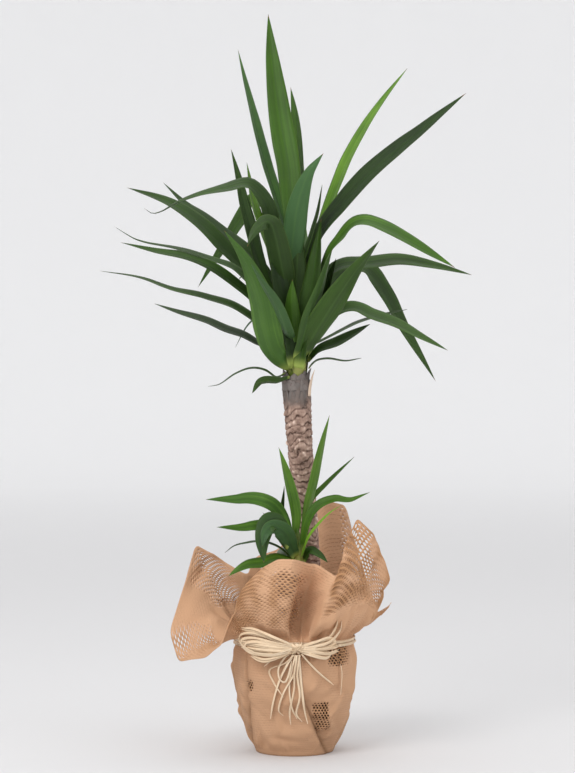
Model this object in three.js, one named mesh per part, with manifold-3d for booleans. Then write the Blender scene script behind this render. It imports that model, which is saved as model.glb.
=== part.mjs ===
// A potted yucca in a gift wrap: one tall cane with a crown of sword-shaped leaves, one short
// waxed cane with a side shoot, a nursery pot with soil, a gathered sheet of kraft paper round
// the pot, and a raffia tie with a bow. Millimetres, +Z up, origin at the centre of the underside.
import * as THREE from 'three';
import { mergeVertices } from 'three/addons/utils/BufferGeometryUtils.js';
import Module from 'manifold-3d';

const wasm = await Module();
wasm.setup();

// Driving dimensions
const GAP = 0.3; // clearance between pieces that touch
const PAPER = 1.5; // crumpled kraft paper, with its folds
const POT_RIM_RADIUS = 69; // 14 cm nursery pot
const POT_FOOT_RADIUS = 48;
const POT_RIM_STEP = 2.5; // how far the rim stands out from the wall
const POT_HEIGHT = 132;
const POT_WALL = 1.6;
const RIM_DEPTH = 10;
const SOIL_LEVEL = 118;
const POT_BOTTOM = PAPER + GAP;
const NECK_RADIUS = 71; // where the raffia draws the paper in
const TIE_HEIGHT = 141;
const NECK_TOP = 150;
const TIE_THICKNESS = 4;
const CANE_RADIUS = 15;
const CANE_TOP = 467;
const SHORT_CANE_RADIUS = 12.5;
const LEAF_THICKNESS = 1.5;
const CROWN = { x: 2, y: 0, bottom: CANE_TOP + 4 * GAP, top: 640, radius: 12 };
const SHOOT = { x: 4, y: -34, bottom: 232, top: 268, radius: 5 };
const ROUND = 32; // sides of the round pieces

const TOWARDS_FRONT = new THREE.Vector3(0, -1, 0);
const UP = new THREE.Vector3(0, 0, 1);

function material(color, roughness) {
  return new THREE.MeshStandardMaterial({ color, roughness, metalness: 0 });
}

const group = new THREE.Group();

function add(name, geometry, colour, roughness) {
  const mesh = new THREE.Mesh(geometry, material(colour, roughness));
  mesh.name = name;
  group.add(mesh);
  return mesh;
}

// A closed mesh from its points and triangles, turned to face outwards.
function closedMesh(points, triangles) {
  let volume = 0;
  for (const [a, b, c] of triangles) {
    volume += points[a].dot(new THREE.Vector3().crossVectors(points[b], points[c]));
  }
  const faces = volume < 0 ? triangles.map(([a, b, c]) => [a, c, b]) : triangles;
  const geometry = new THREE.BufferGeometry();
  geometry.setAttribute('position',
    new THREE.Float32BufferAttribute(points.flatMap((p) => [p.x, p.y, p.z]), 3));
  geometry.setIndex(faces.flat());
  geometry.computeVertexNormals();
  return geometry;
}

// Rings of equal size joined one to the next, with a flat cap at the start and, at the end,
// either a flat cap or one point. Neighbouring strips slope opposite ways, so the two faces of a
// thin leaf bend alike and never cross.
function loft(rings, tip) {
  const sides = rings[0].length;
  const points = rings.flat();
  const triangles = [];
  for (let i = 0; i + 1 < rings.length; i += 1) {
    for (let k = 0; k < sides; k += 1) {
      const a = i * sides + k;
      const b = i * sides + ((k + 1) % sides);
      if (k % 2) triangles.push([a, b, a + sides], [b, b + sides, a + sides]);
      else triangles.push([a, b, b + sides], [a, b + sides, a + sides]);
    }
  }
  const last = (rings.length - 1) * sides;
  for (let k = 1; k + 1 < sides; k += 1) {
    triangles.push([0, k + 1, k]);
    if (!tip) triangles.push([last, last + k, last + k + 1]);
  }
  if (tip) {
    points.push(tip);
    for (let k = 0; k < sides; k += 1) {
      triangles.push([last + k, last + ((k + 1) % sides), points.length - 1]);
    }
  }
  return closedMesh(points, triangles);
}

function curveThrough(path) {
  return new THREE.CatmullRomCurve3(path.map((p) => new THREE.Vector3(...p)), false, 'centripetal');
}

// A round limb along a curve, with its radius given from one end to the other.
function limb(path, radii, steps, sides, grow = 0) {
  const curve = curveThrough(path);
  const rings = [];
  for (let i = 0; i <= steps; i += 1) {
    const t = i / steps;
    const place = (radii.length - 1) * t;
    const low = Math.min(Math.floor(place), radii.length - 2);
    const radius = THREE.MathUtils.lerp(radii[low], radii[low + 1], place - low) + grow;
    const along = curve.getTangentAt(t);
    const across = new THREE.Vector3().crossVectors(TOWARDS_FRONT, along).normalize();
    const other = new THREE.Vector3().crossVectors(along, across);
    const middle = curve.getPointAt(t);
    if (i === 0) middle.addScaledVector(along, -grow);
    if (i === steps) middle.addScaledVector(along, grow);
    rings.push(Array.from({ length: sides }, (_, k) => {
      const turn = (2 * Math.PI * k) / sides;
      return middle.clone().addScaledVector(across, radius * Math.cos(turn))
        .addScaledVector(other, radius * Math.sin(turn));
    }));
  }
  return loft(rings);
}

function solid(geometry) {
  const bare = geometry.clone();
  bare.deleteAttribute('normal');
  bare.deleteAttribute('uv');
  const merged = mergeVertices(bare, 1e-4);
  return new wasm.Manifold(new wasm.Mesh({
    numProp: 3,
    vertProperties: new Float32Array(merged.attributes.position.array),
    triVerts: new Uint32Array(merged.index.array),
  }));
}

function geometryOf(shape) {
  const mesh = shape.getMesh();
  const geometry = new THREE.BufferGeometry();
  geometry.setAttribute('position', new THREE.Float32BufferAttribute(mesh.vertProperties, 3));
  geometry.setIndex(Array.from(mesh.triVerts));
  geometry.computeVertexNormals();
  return geometry;
}

// A profile of [radius, height] turned round +Z.
function turned(profile) {
  const points = profile.map(([radius, height]) => new THREE.Vector2(radius, height));
  const geometry = new THREE.LatheGeometry(points, ROUND);
  geometry.rotateX(Math.PI / 2);
  return geometry;
}

// Pot and soil
function nurseryPot() {
  const foot = POT_FOOT_RADIUS;
  const top = POT_BOTTOM + POT_HEIGHT;
  const belowRim = POT_RIM_RADIUS - POT_RIM_STEP;
  const w = POT_WALL;
  add('nursery_pot', turned([
    [0, POT_BOTTOM], [foot, POT_BOTTOM], [belowRim, top - RIM_DEPTH],
    [POT_RIM_RADIUS, top - RIM_DEPTH], [POT_RIM_RADIUS, top], [POT_RIM_RADIUS - w, top],
    [POT_RIM_RADIUS - w, top - RIM_DEPTH + w], [belowRim - w, top - RIM_DEPTH],
    [foot - w, POT_BOTTOM + w], [0, POT_BOTTOM + w],
  ]), 0x6b3f2a, 0.6);
}

const MAIN_CANE = {
  path: [[25, 16, 24], [25, 16, 127], [19, 13, 215], [14, 10, 291], [11, 8, 331], [7, 4, 380],
    [4, 2, 428], [CROWN.x, CROWN.y, CANE_TOP]],
  radii: [CANE_RADIUS, CANE_RADIUS, CANE_RADIUS, CANE_RADIUS - 0.5, CANE_RADIUS, CANE_RADIUS,
    CANE_RADIUS + 0.5, CANE_RADIUS + 2, CANE_RADIUS + 3],
};
const SHORT_CANE = {
  path: [[-9, -19, 30], [-9, -18, 120], [-9, -18, 200], [-9, -18, 250], [-9, -18, 259]],
  radii: [SHORT_CANE_RADIUS, SHORT_CANE_RADIUS, SHORT_CANE_RADIUS, SHORT_CANE_RADIUS,
    SHORT_CANE_RADIUS, SHORT_CANE_RADIUS, SHORT_CANE_RADIUS, SHORT_CANE_RADIUS,
    SHORT_CANE_RADIUS, SHORT_CANE_RADIUS + 0.5, SHORT_CANE_RADIUS - 6],
};

function mainCane(grow = 0) {
  return limb(MAIN_CANE.path, MAIN_CANE.radii, 22, 16, grow);
}

function shortCane(grow = 0) {
  return limb(SHORT_CANE.path, SHORT_CANE.radii, 20, 16, grow);
}

function pottingSoil() {
  const foot = POT_FOOT_RADIUS - POT_WALL - GAP;
  const floor = POT_BOTTOM + POT_WALL + GAP;
  const edge = POT_RIM_RADIUS - POT_RIM_STEP - POT_WALL - 2 * GAP;
  const share = (SOIL_LEVEL - floor) / (POT_HEIGHT - RIM_DEPTH - POT_WALL);
  const filled = turned([[0, floor], [foot, floor],
    [THREE.MathUtils.lerp(foot, edge, share) - GAP, SOIL_LEVEL - 3], [edge - 8, SOIL_LEVEL],
    [0, SOIL_LEVEL]]);
  const shape = solid(filled).subtract(solid(mainCane(GAP))).subtract(solid(shortCane(GAP)));
  add('potting_soil', geometryOf(shape), 0x2b1d14, 0.95);
}

function canes() {
  add('main_cane', mainCane(), 0x8a6a55, 0.85);
  add('short_cane', shortCane(), 0x7d7a66, 0.7);
  const { x, y, bottom, top, radius } = CROWN;
  add('crown_stem', limb([[x, y, bottom], [x, y, (bottom + top) / 2], [x, y, top]],
    [radius, radius * 0.9, radius * 0.6, radius * 0.25], 8, 12), 0x9aa84a, 0.6);
  const shoot = limb([[-1, -24, SHOOT.bottom], [SHOOT.x, SHOOT.y, SHOOT.bottom + 14],
    [SHOOT.x, SHOOT.y, SHOOT.top]], [SHOOT.radius, SHOOT.radius, SHOOT.radius, 2], 8, 12);
  add('shoot_stem', geometryOf(solid(shoot).subtract(solid(shortCane(GAP)))), 0xa9b552, 0.6);
}

// Leaves. Each leaf leaves its stem at root [bearing, height], with bearing 0 at +X and 90 at
// +Y, and then follows its own line. roll turns the upper face about that line, from 0, which
// faces the front, at the root and at the tip. width is the widest breadth of the blade.
const CROWN_LEAVES = [
  { name: 'crown_leaf_01', width: 31, roll: [-8, 10], root: [90, 622],
    path: [[-2, 22, 664], [-8, 36, 741], [-16, 46, 787], [-29, 66, 883], [-34, 78, 939]] },
  { name: 'crown_leaf_02', width: 27, roll: [58, 62], root: [140, 612],
    path: [[-13, 34, 661], [-43, 70, 764], [-50, 80, 793], [-66, 105, 859], [-74, 120, 899]] },
  { name: 'crown_leaf_03', width: 26, roll: [-52, -40], root: [55, 612],
    path: [[6, 40, 678], [5, 80, 752], [2, 110, 807], [-5, 135, 851]] },
  { name: 'crown_leaf_04', width: 28, roll: [-58, -62], root: [20, 606],
    path: [[35, 28, 661], [48, 42, 697], [67, 58, 746], [106, 84, 815], [148, 105, 873]] },
  { name: 'crown_leaf_05', width: 33, roll: [-52, -48], root: [335, 592],
    path: [[32, -22, 652], [58, -34, 685], [78, -44, 708],
      [96, -52, 726], [147, -72, 767], [209, -95, 818]] },
  { name: 'crown_leaf_06', width: 29, roll: [172, 160], root: [272, 588],
    path: [[-4, -26, 615], [-1, -42, 652], [4, -58, 686], [17, -78, 722], [35, -92, 745]] },
  { name: 'crown_leaf_07', width: 20, roll: [-72, -78], root: [300, 600],
    path: [[14, -26, 624], [24, -34, 655], [30, -42, 677], [34, -54, 710]] },
  { name: 'crown_leaf_08', width: 30, roll: [-125, -45], root: [318, 556],
    path: [[29, -32, 589], [44, -46, 626], [59, -56, 645], [71, -66, 658],
      [85, -76, 662], [111, -88, 653], [153, -104, 629], [194, -118, 604]] },
  { name: 'crown_leaf_09', width: 28, roll: [-62, -60], root: [8, 556],
    path: [[35, 12, 592], [58, 20, 611], [93, 28, 614], [132, 36, 619], [180, 46, 612], [228, 54, 601]] },
  { name: 'crown_leaf_10', width: 30, roll: [-45, -48], root: [42, 540],
    path: [[49, 48, 586], [74, 66, 610], [92, 78, 610], [115, 92, 583], [141, 104, 535], [185, 116, 464]] },
  { name: 'crown_leaf_11', width: 34, roll: [-158, -140], root: [292, 494],
    path: [[19, -34, 517], [50, -62, 566], [71, -80, 597], [91, -96, 623], [103, -106, 638]] },
  { name: 'crown_leaf_12', width: 28, roll: [-70, -62], root: [340, 512],
    path: [[29, -12, 530], [59, -20, 555], [77, -26, 557], [94, -32, 549],
      [125, -44, 537], [155, -56, 521], [189, -68, 504]] },
  { name: 'crown_leaf_13', width: 22, roll: [-72, -65], root: [5, 490],
    path: [[30, 4, 504], [54, 8, 514], [74, 12, 525], [96, 16, 538]] },
  { name: 'crown_leaf_14', width: 22, roll: [-100, -70], root: [28, 508],
    path: [[35, 26, 517], [61, 42, 530], [85, 56, 541], [147, 84, 558]] },
  { name: 'crown_leaf_15', width: 12, roll: [-85, -80], root: [352, 482],
    path: [[26, -6, 491], [41, -12, 494], [64, -20, 491], [84, -28, 495]] },
  { name: 'crown_leaf_16', width: 38, roll: [160, 140], root: [248, 482],
    path: [[-26, -36, 502], [-35, -52, 529], [-42, -70, 565],
      [-52, -86, 595], [-66, -98, 622], [-86, -112, 650]] },
  { name: 'crown_leaf_17', width: 17, roll: [150, 130], root: [256, 516],
    path: [[-9, -56, 528], [-23, -82, 561], [-40, -100, 587], [-54, -114, 611]] },
  { name: 'crown_leaf_18', width: 24, roll: [48, 52], root: [182, 562],
    path: [[-28, -2, 577], [-45, 0, 616], [-57, 6, 662], [-65, 14, 691], [-72, 22, 724], [-81, 32, 761]] },
  { name: 'crown_leaf_19', width: 27, roll: [25, 125], root: [222, 574],
    path: [[-23, -25, 614], [-28, -36, 651], [-35, -48, 683], [-48, -56, 702], [-60, -62, 709],
      [-75, -68, 705], [-107, -76, 697], [-140, -84, 686], [-172, -92, 671], [-184, -96, 678]] },
  { name: 'crown_leaf_20', width: 29, roll: [165, 190], root: [262, 546],
    path: [[-13, -44, 594], [-20, -62, 627], [-26, -76, 651], [-32, -86, 662],
      [-43, -96, 656], [-52, -102, 645], [-58, -106, 630]] },
  { name: 'crown_leaf_21', width: 24, roll: [62, 60], root: [118, 582],
    path: [[-26, 34, 618], [-39, 52, 653], [-53, 68, 694], [-62, 94, 749]] },
  { name: 'crown_leaf_22', width: 28, roll: [48, 42], root: [98, 596],
    path: [[-21, 62, 658], [-40, 92, 696], [-53, 108, 699],
      [-68, 122, 679], [-96, 142, 636], [-128, 162, 588]] },
  { name: 'crown_leaf_23', width: 30, roll: [62, 62], root: [162, 540],
    path: [[-38, 4, 573], [-69, 10, 614], [-91, 14, 636],
      [-113, 18, 659], [-156, 26, 690], [-214, 36, 712]] },
  { name: 'crown_leaf_24', width: 22, roll: [75, 72], root: [142, 566],
    path: [[-34, 24, 601], [-62, 40, 633], [-83, 52, 649],
      [-118, 68, 677], [-143, 80, 695], [-171, 92, 723]] },
  { name: 'crown_leaf_25', width: 26, roll: [75, 112], root: [204, 528],
    path: [[-36, -18, 567], [-61, -28, 593], [-78, -34, 607], [-100, -40, 615],
      [-148, -52, 630], [-194, -62, 640], [-222, -70, 657]] },
  { name: 'crown_leaf_26', width: 24, roll: [70, 70], root: [176, 518],
    path: [[-36, -8, 550], [-53, -8, 569], [-68, -8, 582], [-99, -8, 605],
      [-131, -9, 620], [-181, -10, 630], [-219, -12, 640]] },
  { name: 'crown_leaf_27', width: 28, roll: [75, 105], root: [192, 502],
    path: [[-33, -18, 527], [-58, -22, 547], [-82, -26, 561], [-110, -30, 569],
      [-155, -36, 580], [-192, -42, 594], [-242, -50, 603]] },
  { name: 'crown_leaf_28', width: 26, roll: [80, 75], root: [160, 490],
    path: [[-31, 8, 505], [-47, 14, 512], [-65, 20, 522], [-88, 28, 530],
      [-110, 36, 540], [-121, 40, 544], [-153, 50, 554], [-181, 60, 565]] },
  { name: 'crown_leaf_29', width: 9, roll: [75, 80], root: [214, 477],
    path: [[-22, -18, 471], [-38, -26, 480], [-55, -34, 482],
      [-74, -42, 475], [-94, -50, 462], [-108, -56, 460]] },
  { name: 'crown_leaf_30', width: 17, roll: [120, 150], root: [238, 470],
    path: [[-22, -24, 466], [-33, -30, 467], [-43, -36, 465], [-53, -44, 451]] },
  { name: 'crown_leaf_31', width: 22, roll: [-5, 0], root: [78, 560], face: UP,
    path: [[7, 60, 619], [6, 110, 656], [5, 160, 677], [3, 215, 692]] },
  { name: 'crown_leaf_32', width: 24, roll: [0, 0], root: [92, 500], face: UP,
    path: [[7, 60, 521], [10, 110, 535], [11, 160, 527], [13, 205, 505]] },
];

const SHOOT_LEAVES = [
  { name: 'shoot_leaf_01', width: 18, roll: [-130, -130], root: [345, 262],
    path: [[14, -30, 294], [24, -38, 338], [34, -50, 385], [43, -62, 425]] },
  { name: 'shoot_leaf_02', width: 17, roll: [150, 140], root: [150, 264],
    path: [[1, -42, 299], [-7, -50, 339], [-14, -56, 365], [-20, -60, 385]] },
  { name: 'shoot_leaf_03', width: 13, roll: [-84, -84], root: [25, 258],
    path: [[15, -16, 292], [22, -12, 317], [36, -16, 333], [57, -22, 354], [75, -28, 372]] },
  { name: 'shoot_leaf_04', width: 15, roll: [-70, -110], root: [325, 254],
    path: [[14, -48, 286], [22, -52, 305], [35, -56, 316],
      [53, -60, 321], [66, -64, 319], [93, -72, 330]] },
  { name: 'shoot_leaf_05', width: 10, roll: [-60, -60], root: [300, 247],
    path: [[18, -60, 275], [29, -66, 290], [44, -72, 305], [57, -76, 314]] },
  { name: 'shoot_leaf_06', width: 20, roll: [70, 95], root: [172, 257],
    path: [[-13, -28, 290], [-25, -38, 309], [-40, -50, 318],
      [-55, -56, 321], [-72, -62, 320], [-110, -74, 321]] },
  { name: 'shoot_leaf_07', width: 17, roll: [80, 110], root: [198, 251],
    path: [[-13, -50, 276], [-30, -60, 286],
      [-47, -68, 288], [-67, -76, 286], [-96, -88, 288]] },
  { name: 'shoot_leaf_08', width: 24, roll: [20, 10], root: [246, 248],
    path: [[-14, -62, 279], [-28, -76, 286], [-35, -84, 281], [-40, -90, 264]] },
  { name: 'shoot_leaf_09', width: 10, roll: [85, 75], root: [220, 244],
    path: [[-18, -60, 260], [-33, -68, 267], [-47, -74, 269],
      [-59, -82, 268], [-74, -90, 265], [-86, -98, 257]] },
  { name: 'shoot_leaf_11', width: 18, roll: [95, 60], root: [258, 241],
    path: [[-23, -58, 247], [-40, -62, 242],
      [-57, -64, 240], [-70, -66, 234], [-82, -68, 226]] },
  { name: 'shoot_leaf_12', width: 16, roll: [-60, -60], root: [335, 242],
    path: [[19, -48, 256], [29, -54, 252], [41, -60, 242]] },
];

const ROOT_SHARE = 0.26; // breadth at the root, as a share of the widest
const WIDEST = 0.45; // where the blade is widest, from root to tip
const CUP = 0.16; // how far the edges rise above the midrib, as a share of the breadth

function bladeBreadth(t) {
  if (t < WIDEST) {
    const rise = Math.sin((t / WIDEST) * Math.PI / 2);
    return THREE.MathUtils.lerp(ROOT_SHARE, 1, rise);
  }
  return 1 - Math.pow((t - WIDEST) / (1 - WIDEST), 1.9);
}

function rootPoint(stem, bearing, height) {
  const share = (height - stem.bottom) / (stem.top - stem.bottom);
  const reach = stem.radius * (1 - 0.7 * share) + 4.5;
  const turn = THREE.MathUtils.degToRad(bearing);
  return [stem.x + reach * Math.cos(turn), stem.y + reach * Math.sin(turn), height];
}

// One leaf: rings of four points, which are keel, right edge, midrib groove and left edge.
function leaf(stem, { name, width, roll, root, path, face = TOWARDS_FRONT }, colour) {
  const curve = curveThrough([rootPoint(stem, ...root), ...path]);
  const steps = 2 * path.length + 3;
  const rings = [];
  for (let i = 0; i < steps; i += 1) {
    const t = i / steps;
    const along = curve.getTangentAt(t);
    const first = face.clone().addScaledVector(along, -face.dot(along)).normalize();
    const second = new THREE.Vector3().crossVectors(along, first);
    const turn = THREE.MathUtils.degToRad(THREE.MathUtils.lerp(roll[0], roll[1], t));
    const upper = first.multiplyScalar(Math.cos(turn)).addScaledVector(second, Math.sin(turn));
    const side = new THREE.Vector3().crossVectors(upper, along);
    const middle = curve.getPointAt(t);
    const half = (width * bladeBreadth(t)) / 2;
    const thick = (LEAF_THICKNESS * (0.4 + 0.6 * bladeBreadth(t))) / 2;
    rings.push([
      middle.clone().addScaledVector(upper, -thick),
      middle.clone().addScaledVector(side, half).addScaledVector(upper, 2 * half * CUP),
      middle.clone().addScaledVector(upper, thick),
      middle.clone().addScaledVector(side, -half).addScaledVector(upper, 2 * half * CUP),
    ]);
  }
  add(name, loft(rings, curve.getPointAt(1)), colour, 0.45);
}

// Paper wrap
const WRAP_OUTSIDE = [[0, 0], [51, 0], [57, 9], [65, 27], [72, 52], [76, 76], [77, 95], [76, 112],
  [NECK_RADIUS + 1.5, 134], [NECK_RADIUS, TIE_HEIGHT], [NECK_RADIUS + 1, NECK_TOP]];

function wrapRadius(height) {
  const after = WRAP_OUTSIDE.findIndex(([, z]) => z > height);
  const [r1, z1] = WRAP_OUTSIDE[after];
  const [r0, z0] = WRAP_OUTSIDE[after - 1];
  return THREE.MathUtils.lerp(r0, r1, (height - z0) / (z1 - z0));
}

function wrapBody() {
  const inside = WRAP_OUTSIDE.slice(1).reverse().map(([r, z]) => [r - PAPER, Math.max(z, PAPER)]);
  add('wrap_body', turned([...WRAP_OUTSIDE, ...inside, [0, PAPER]]), 0xd6aa82, 0.9);
}

// A flap of the collar: paper from an arc of the neck out to its own free edge.
function flap(name, [from, to], edge) {
  const across = 12;
  const out = 4;
  const bulge = 6;
  const rim = curveThrough(edge);
  const surface = (u, v) => {
    const turn = THREE.MathUtils.degToRad(THREE.MathUtils.lerp(from, to, u));
    const radial = new THREE.Vector3(Math.cos(turn), Math.sin(turn), 0);
    const neck = radial.clone().multiplyScalar(NECK_RADIUS + 1).setZ(NECK_TOP + 2);
    return neck.lerp(rim.getPointAt(u), v).addScaledVector(radial, bulge * 4 * v * (1 - v))
      .setZ(neck.z - bulge * v * (1 - v));
  };
  const points = [];
  for (const side of [-0.5, 0.5]) {
    for (let i = 0; i <= across; i += 1) {
      for (let j = 0; j <= out; j += 1) {
        const u = i / across;
        const v = j / out;
        const du = surface(Math.min(u + 0.01, 1), v).sub(surface(Math.max(u - 0.01, 0), v));
        const dv = surface(u, Math.min(v + 0.01, 1)).sub(surface(u, Math.max(v - 0.01, 0)));
        const normal = du.cross(dv).normalize();
        points.push(surface(u, v).addScaledVector(normal, side * PAPER));
      }
    }
  }
  const row = out + 1;
  const layer = (across + 1) * row;
  const triangles = [];
  const quad = (a, b, c, d) => triangles.push([a, b, c], [a, c, d]);
  for (let i = 0; i < across; i += 1) {
    for (let j = 0; j < out; j += 1) {
      const a = i * row + j;
      quad(a, a + 1, a + row + 1, a + row);
      quad(a + layer, a + row + layer, a + row + 1 + layer, a + 1 + layer);
    }
    quad(i * row, (i + 1) * row, (i + 1) * row + layer, i * row + layer);
    const top = i * row + out;
    quad(top, top + layer, top + row + layer, top + row);
  }
  for (let j = 0; j < out; j += 1) {
    quad(j, j + layer, j + 1 + layer, j + 1);
    const end = across * row + j;
    quad(end, end + 1, end + 1 + layer, end + layer);
  }
  add(name, closedMesh(points, triangles), 0xd6aa82, 0.9);
}

function collar() {
  flap('wrap_flap_left', [140, 222], [[-62, 52, 212], [-100, 50, 240], [-127, 38, 256],
    [-139, 10, 212], [-157, -22, 150], [-143, -52, 116], [-110, -62, 128], [-76, -66, 150]]);
  flap('wrap_flap_front', [226, 274], [[-70, -70, 190], [-60, -80, 226], [-30, -92, 248],
    [0, -97, 250], [24, -94, 246]]);
  flap('wrap_flap_right', [282, 358], [[30, -92, 226], [44, -86, 240], [77, -60, 297],
    [100, -46, 274], [122, -30, 219], [127, -14, 186], [110, -2, 162]]);
  flap('wrap_flap_back', [4, 134], [[112, 20, 168], [98, 44, 222], [66, 52, 306], [42, 66, 310],
    [18, 80, 285], [-20, 88, 246], [-54, 74, 238]]);
}

// Raffia tie
function onWrap(x, z, lift) {
  const radius = wrapRadius(z) + lift;
  return [x, -Math.sqrt(radius * radius - x * x), z];
}

const STRAND_SIDES = 8; // sides of a thin strand
const BAND_HEIGHT = 9;
const KNOT = { x: 3, width: 12, depth: 6, height: 8 }; // half sizes
const BOW_RADIUS = 3.5;
const TAIL_RADIUS = 1.5;
const TAIL_CLEARANCE = 3; // from the paper to a tail's centreline

function strand(name, path, radius, steps) {
  const outline = new THREE.Shape();
  for (let k = 0; k < STRAND_SIDES; k += 1) {
    const turn = (2 * Math.PI * (k + 0.5)) / STRAND_SIDES;
    const place = [radius * Math.cos(turn), radius * Math.sin(turn)];
    if (k === 0) outline.moveTo(...place);
    else outline.lineTo(...place);
  }
  outline.closePath();
  const geometry = new THREE.ExtrudeGeometry(outline,
    { steps, bevelEnabled: false, extrudePath: curveThrough(path) });
  add(name, geometry, 0xead0a4, 0.7);
}

function raffia() {
  const inner = NECK_RADIUS + 1.5 + GAP;
  const outer = inner + TIE_THICKNESS;
  const half = BAND_HEIGHT / 2;
  add('raffia_band', turned([[inner, TIE_HEIGHT - half], [outer, TIE_HEIGHT - half / 2],
    [outer, TIE_HEIGHT + half / 2], [inner, TIE_HEIGHT + half], [inner, TIE_HEIGHT - half]]),
  0xead0a4, 0.7);
  const front = -(outer + GAP);
  const knot = new THREE.SphereGeometry(1, 14, 8);
  knot.scale(KNOT.width, KNOT.depth, KNOT.height);
  knot.translate(KNOT.x, front - KNOT.depth, TIE_HEIGHT - 2);
  add('raffia_knot', knot, 0xead0a4, 0.7);
  const lift = TIE_THICKNESS + 6;
  strand('raffia_bow_left', [onWrap(-11, TIE_HEIGHT - 2, lift), onWrap(-30, TIE_HEIGHT - 3, lift),
    onWrap(-52, TIE_HEIGHT - 2, lift), onWrap(-70, TIE_HEIGHT, lift)], BOW_RADIUS, 10);
  strand('raffia_bow_right', [onWrap(17, TIE_HEIGHT - 2, lift), onWrap(34, TIE_HEIGHT - 1, lift),
    onWrap(54, TIE_HEIGHT, lift)], BOW_RADIUS, 8);
  const clear = TAIL_CLEARANCE;
  strand('raffia_tail_left', [onWrap(-2, 129, clear + 8), onWrap(-10, 118, clear + 3),
    onWrap(-20, 96, clear), onWrap(-27, 70, clear), onWrap(-30, 49, clear)], TAIL_RADIUS, 16);
  strand('raffia_tail_right', [onWrap(5, 129, clear + 8), onWrap(6, 118, clear + 3),
    onWrap(8, 92, clear), onWrap(12, 62, clear), onWrap(16, 44, clear)], TAIL_RADIUS, 16);
}

nurseryPot();
pottingSoil();
canes();
for (const one of CROWN_LEAVES) leaf(CROWN, one, 0x2f6b1f);
for (const one of SHOOT_LEAVES) leaf(SHOOT, one, 0x4a8c26);
wrapBody();
collar();
raffia();

export default group;
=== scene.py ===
# %% [markdown]
# A potted yucca in a kraft paper wrap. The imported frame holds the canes, leaves, pot and tie at
# their real sizes. This lesson gives each of them its finish, one kind of piece at a time.

# %% Load the frame
import math

import bpy
import numpy as np
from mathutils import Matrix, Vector
from mathutils.bvhtree import BVHTree


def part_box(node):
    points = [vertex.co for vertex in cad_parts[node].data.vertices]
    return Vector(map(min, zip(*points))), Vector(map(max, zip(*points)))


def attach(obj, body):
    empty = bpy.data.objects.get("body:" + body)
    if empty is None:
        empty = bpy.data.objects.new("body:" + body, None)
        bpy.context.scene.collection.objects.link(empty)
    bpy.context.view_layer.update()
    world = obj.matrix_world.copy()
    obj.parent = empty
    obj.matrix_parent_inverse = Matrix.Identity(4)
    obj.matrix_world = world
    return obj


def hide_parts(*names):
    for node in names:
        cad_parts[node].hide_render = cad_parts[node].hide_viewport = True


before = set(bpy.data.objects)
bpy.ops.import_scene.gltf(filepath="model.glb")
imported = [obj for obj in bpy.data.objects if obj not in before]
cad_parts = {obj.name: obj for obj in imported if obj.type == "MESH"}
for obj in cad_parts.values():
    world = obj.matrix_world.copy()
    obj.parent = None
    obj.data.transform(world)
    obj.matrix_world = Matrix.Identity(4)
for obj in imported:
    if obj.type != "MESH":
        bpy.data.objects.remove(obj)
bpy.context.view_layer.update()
MM = 0.001

# %% [markdown]
# The camera stands three metres back at half the plant's height with a long lens, as a plant
# catalogue does, so that the pot isn't seen from above and the leaves keep their true lengths.

# %% Camera
EYE = Vector((-0.009, -3.0, 0.50))
TARGET = Vector((-0.009, 0.0, 0.459))
LENS = 110.9

camera_data = bpy.data.cameras.new("camera")
camera_data.lens = LENS
camera_data.sensor_width = 36
camera = bpy.data.objects.new("camera", camera_data)
camera.location = EYE
camera.rotation_mode = "QUATERNION"
camera.rotation_quaternion = (TARGET - EYE).to_track_quat("-Z", "Y")
bpy.context.scene.collection.objects.link(camera)
bpy.context.scene.camera = camera
print("camera:", LENS, "mm lens,", round((TARGET - EYE).length, 2), "m away")

# %% [markdown]
# Every piece here is made from lists of points, so the first helper turns points and faces into
# an object. It can carry values on its points, which the materials read: how far along a leaf a
# point is, for example. The second helper is a smooth random field, seeded, for wear and bends.

# %% Mesh and noise helpers
def new_object(name, points, faces, values=None, smooth=True):
    mesh = bpy.data.meshes.new(name)
    mesh.from_pydata([tuple(p) for p in np.asarray(points, float)], [], faces)
    for key, data in (values or {}).items():
        data = np.asarray(data, np.float32)
        kind = "FLOAT_VECTOR" if data.ndim == 2 else "FLOAT"
        attribute = mesh.attributes.new(key, kind, "POINT")
        attribute.data.foreach_set("vector" if data.ndim == 2 else "value", data.ravel())
    mesh.polygons.foreach_set("use_smooth", [smooth] * len(mesh.polygons))
    mesh.validate()
    mesh.update()
    made = bpy.data.objects.new(name, mesh)
    bpy.context.scene.collection.objects.link(made)
    return made


def lattice(cell, seed):
    mixed = (cell[..., 0] * 374761393 + cell[..., 1] * 668265263
             + cell[..., 2] * 2147483647 + seed * 144665) & 0xFFFFFFFF
    mixed = ((mixed ^ (mixed >> 13)) * 1274126177) & 0xFFFFFFFF
    return ((mixed ^ (mixed >> 16)) & 0xFFFF) / 32767.5 - 1


def noise(points, size, seed=0):
    """A smooth random value from -1 to 1 at each point, with bumps of about that size."""
    place = np.asarray(points, float) / size
    cell = np.floor(place).astype(np.int64)
    part = place - cell
    part = part * part * (3 - 2 * part)
    total = 0
    for dx in (0, 1):
        for dy in (0, 1):
            for dz in (0, 1):
                share = np.abs(1 - dx - part[..., 0]) * np.abs(1 - dy - part[..., 1])
                share = share * np.abs(1 - dz - part[..., 2])
                total = total + share * lattice(cell + np.array([dx, dy, dz]), seed)
    return total


def unit(v):
    return v / np.maximum(np.linalg.norm(v, axis=-1, keepdims=True), 1e-12)


def smooth_step(low, high, value):
    t = np.clip((np.asarray(value, float) - low) / (high - low), 0, 1)
    return t * t * (3 - 2 * t)


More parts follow.
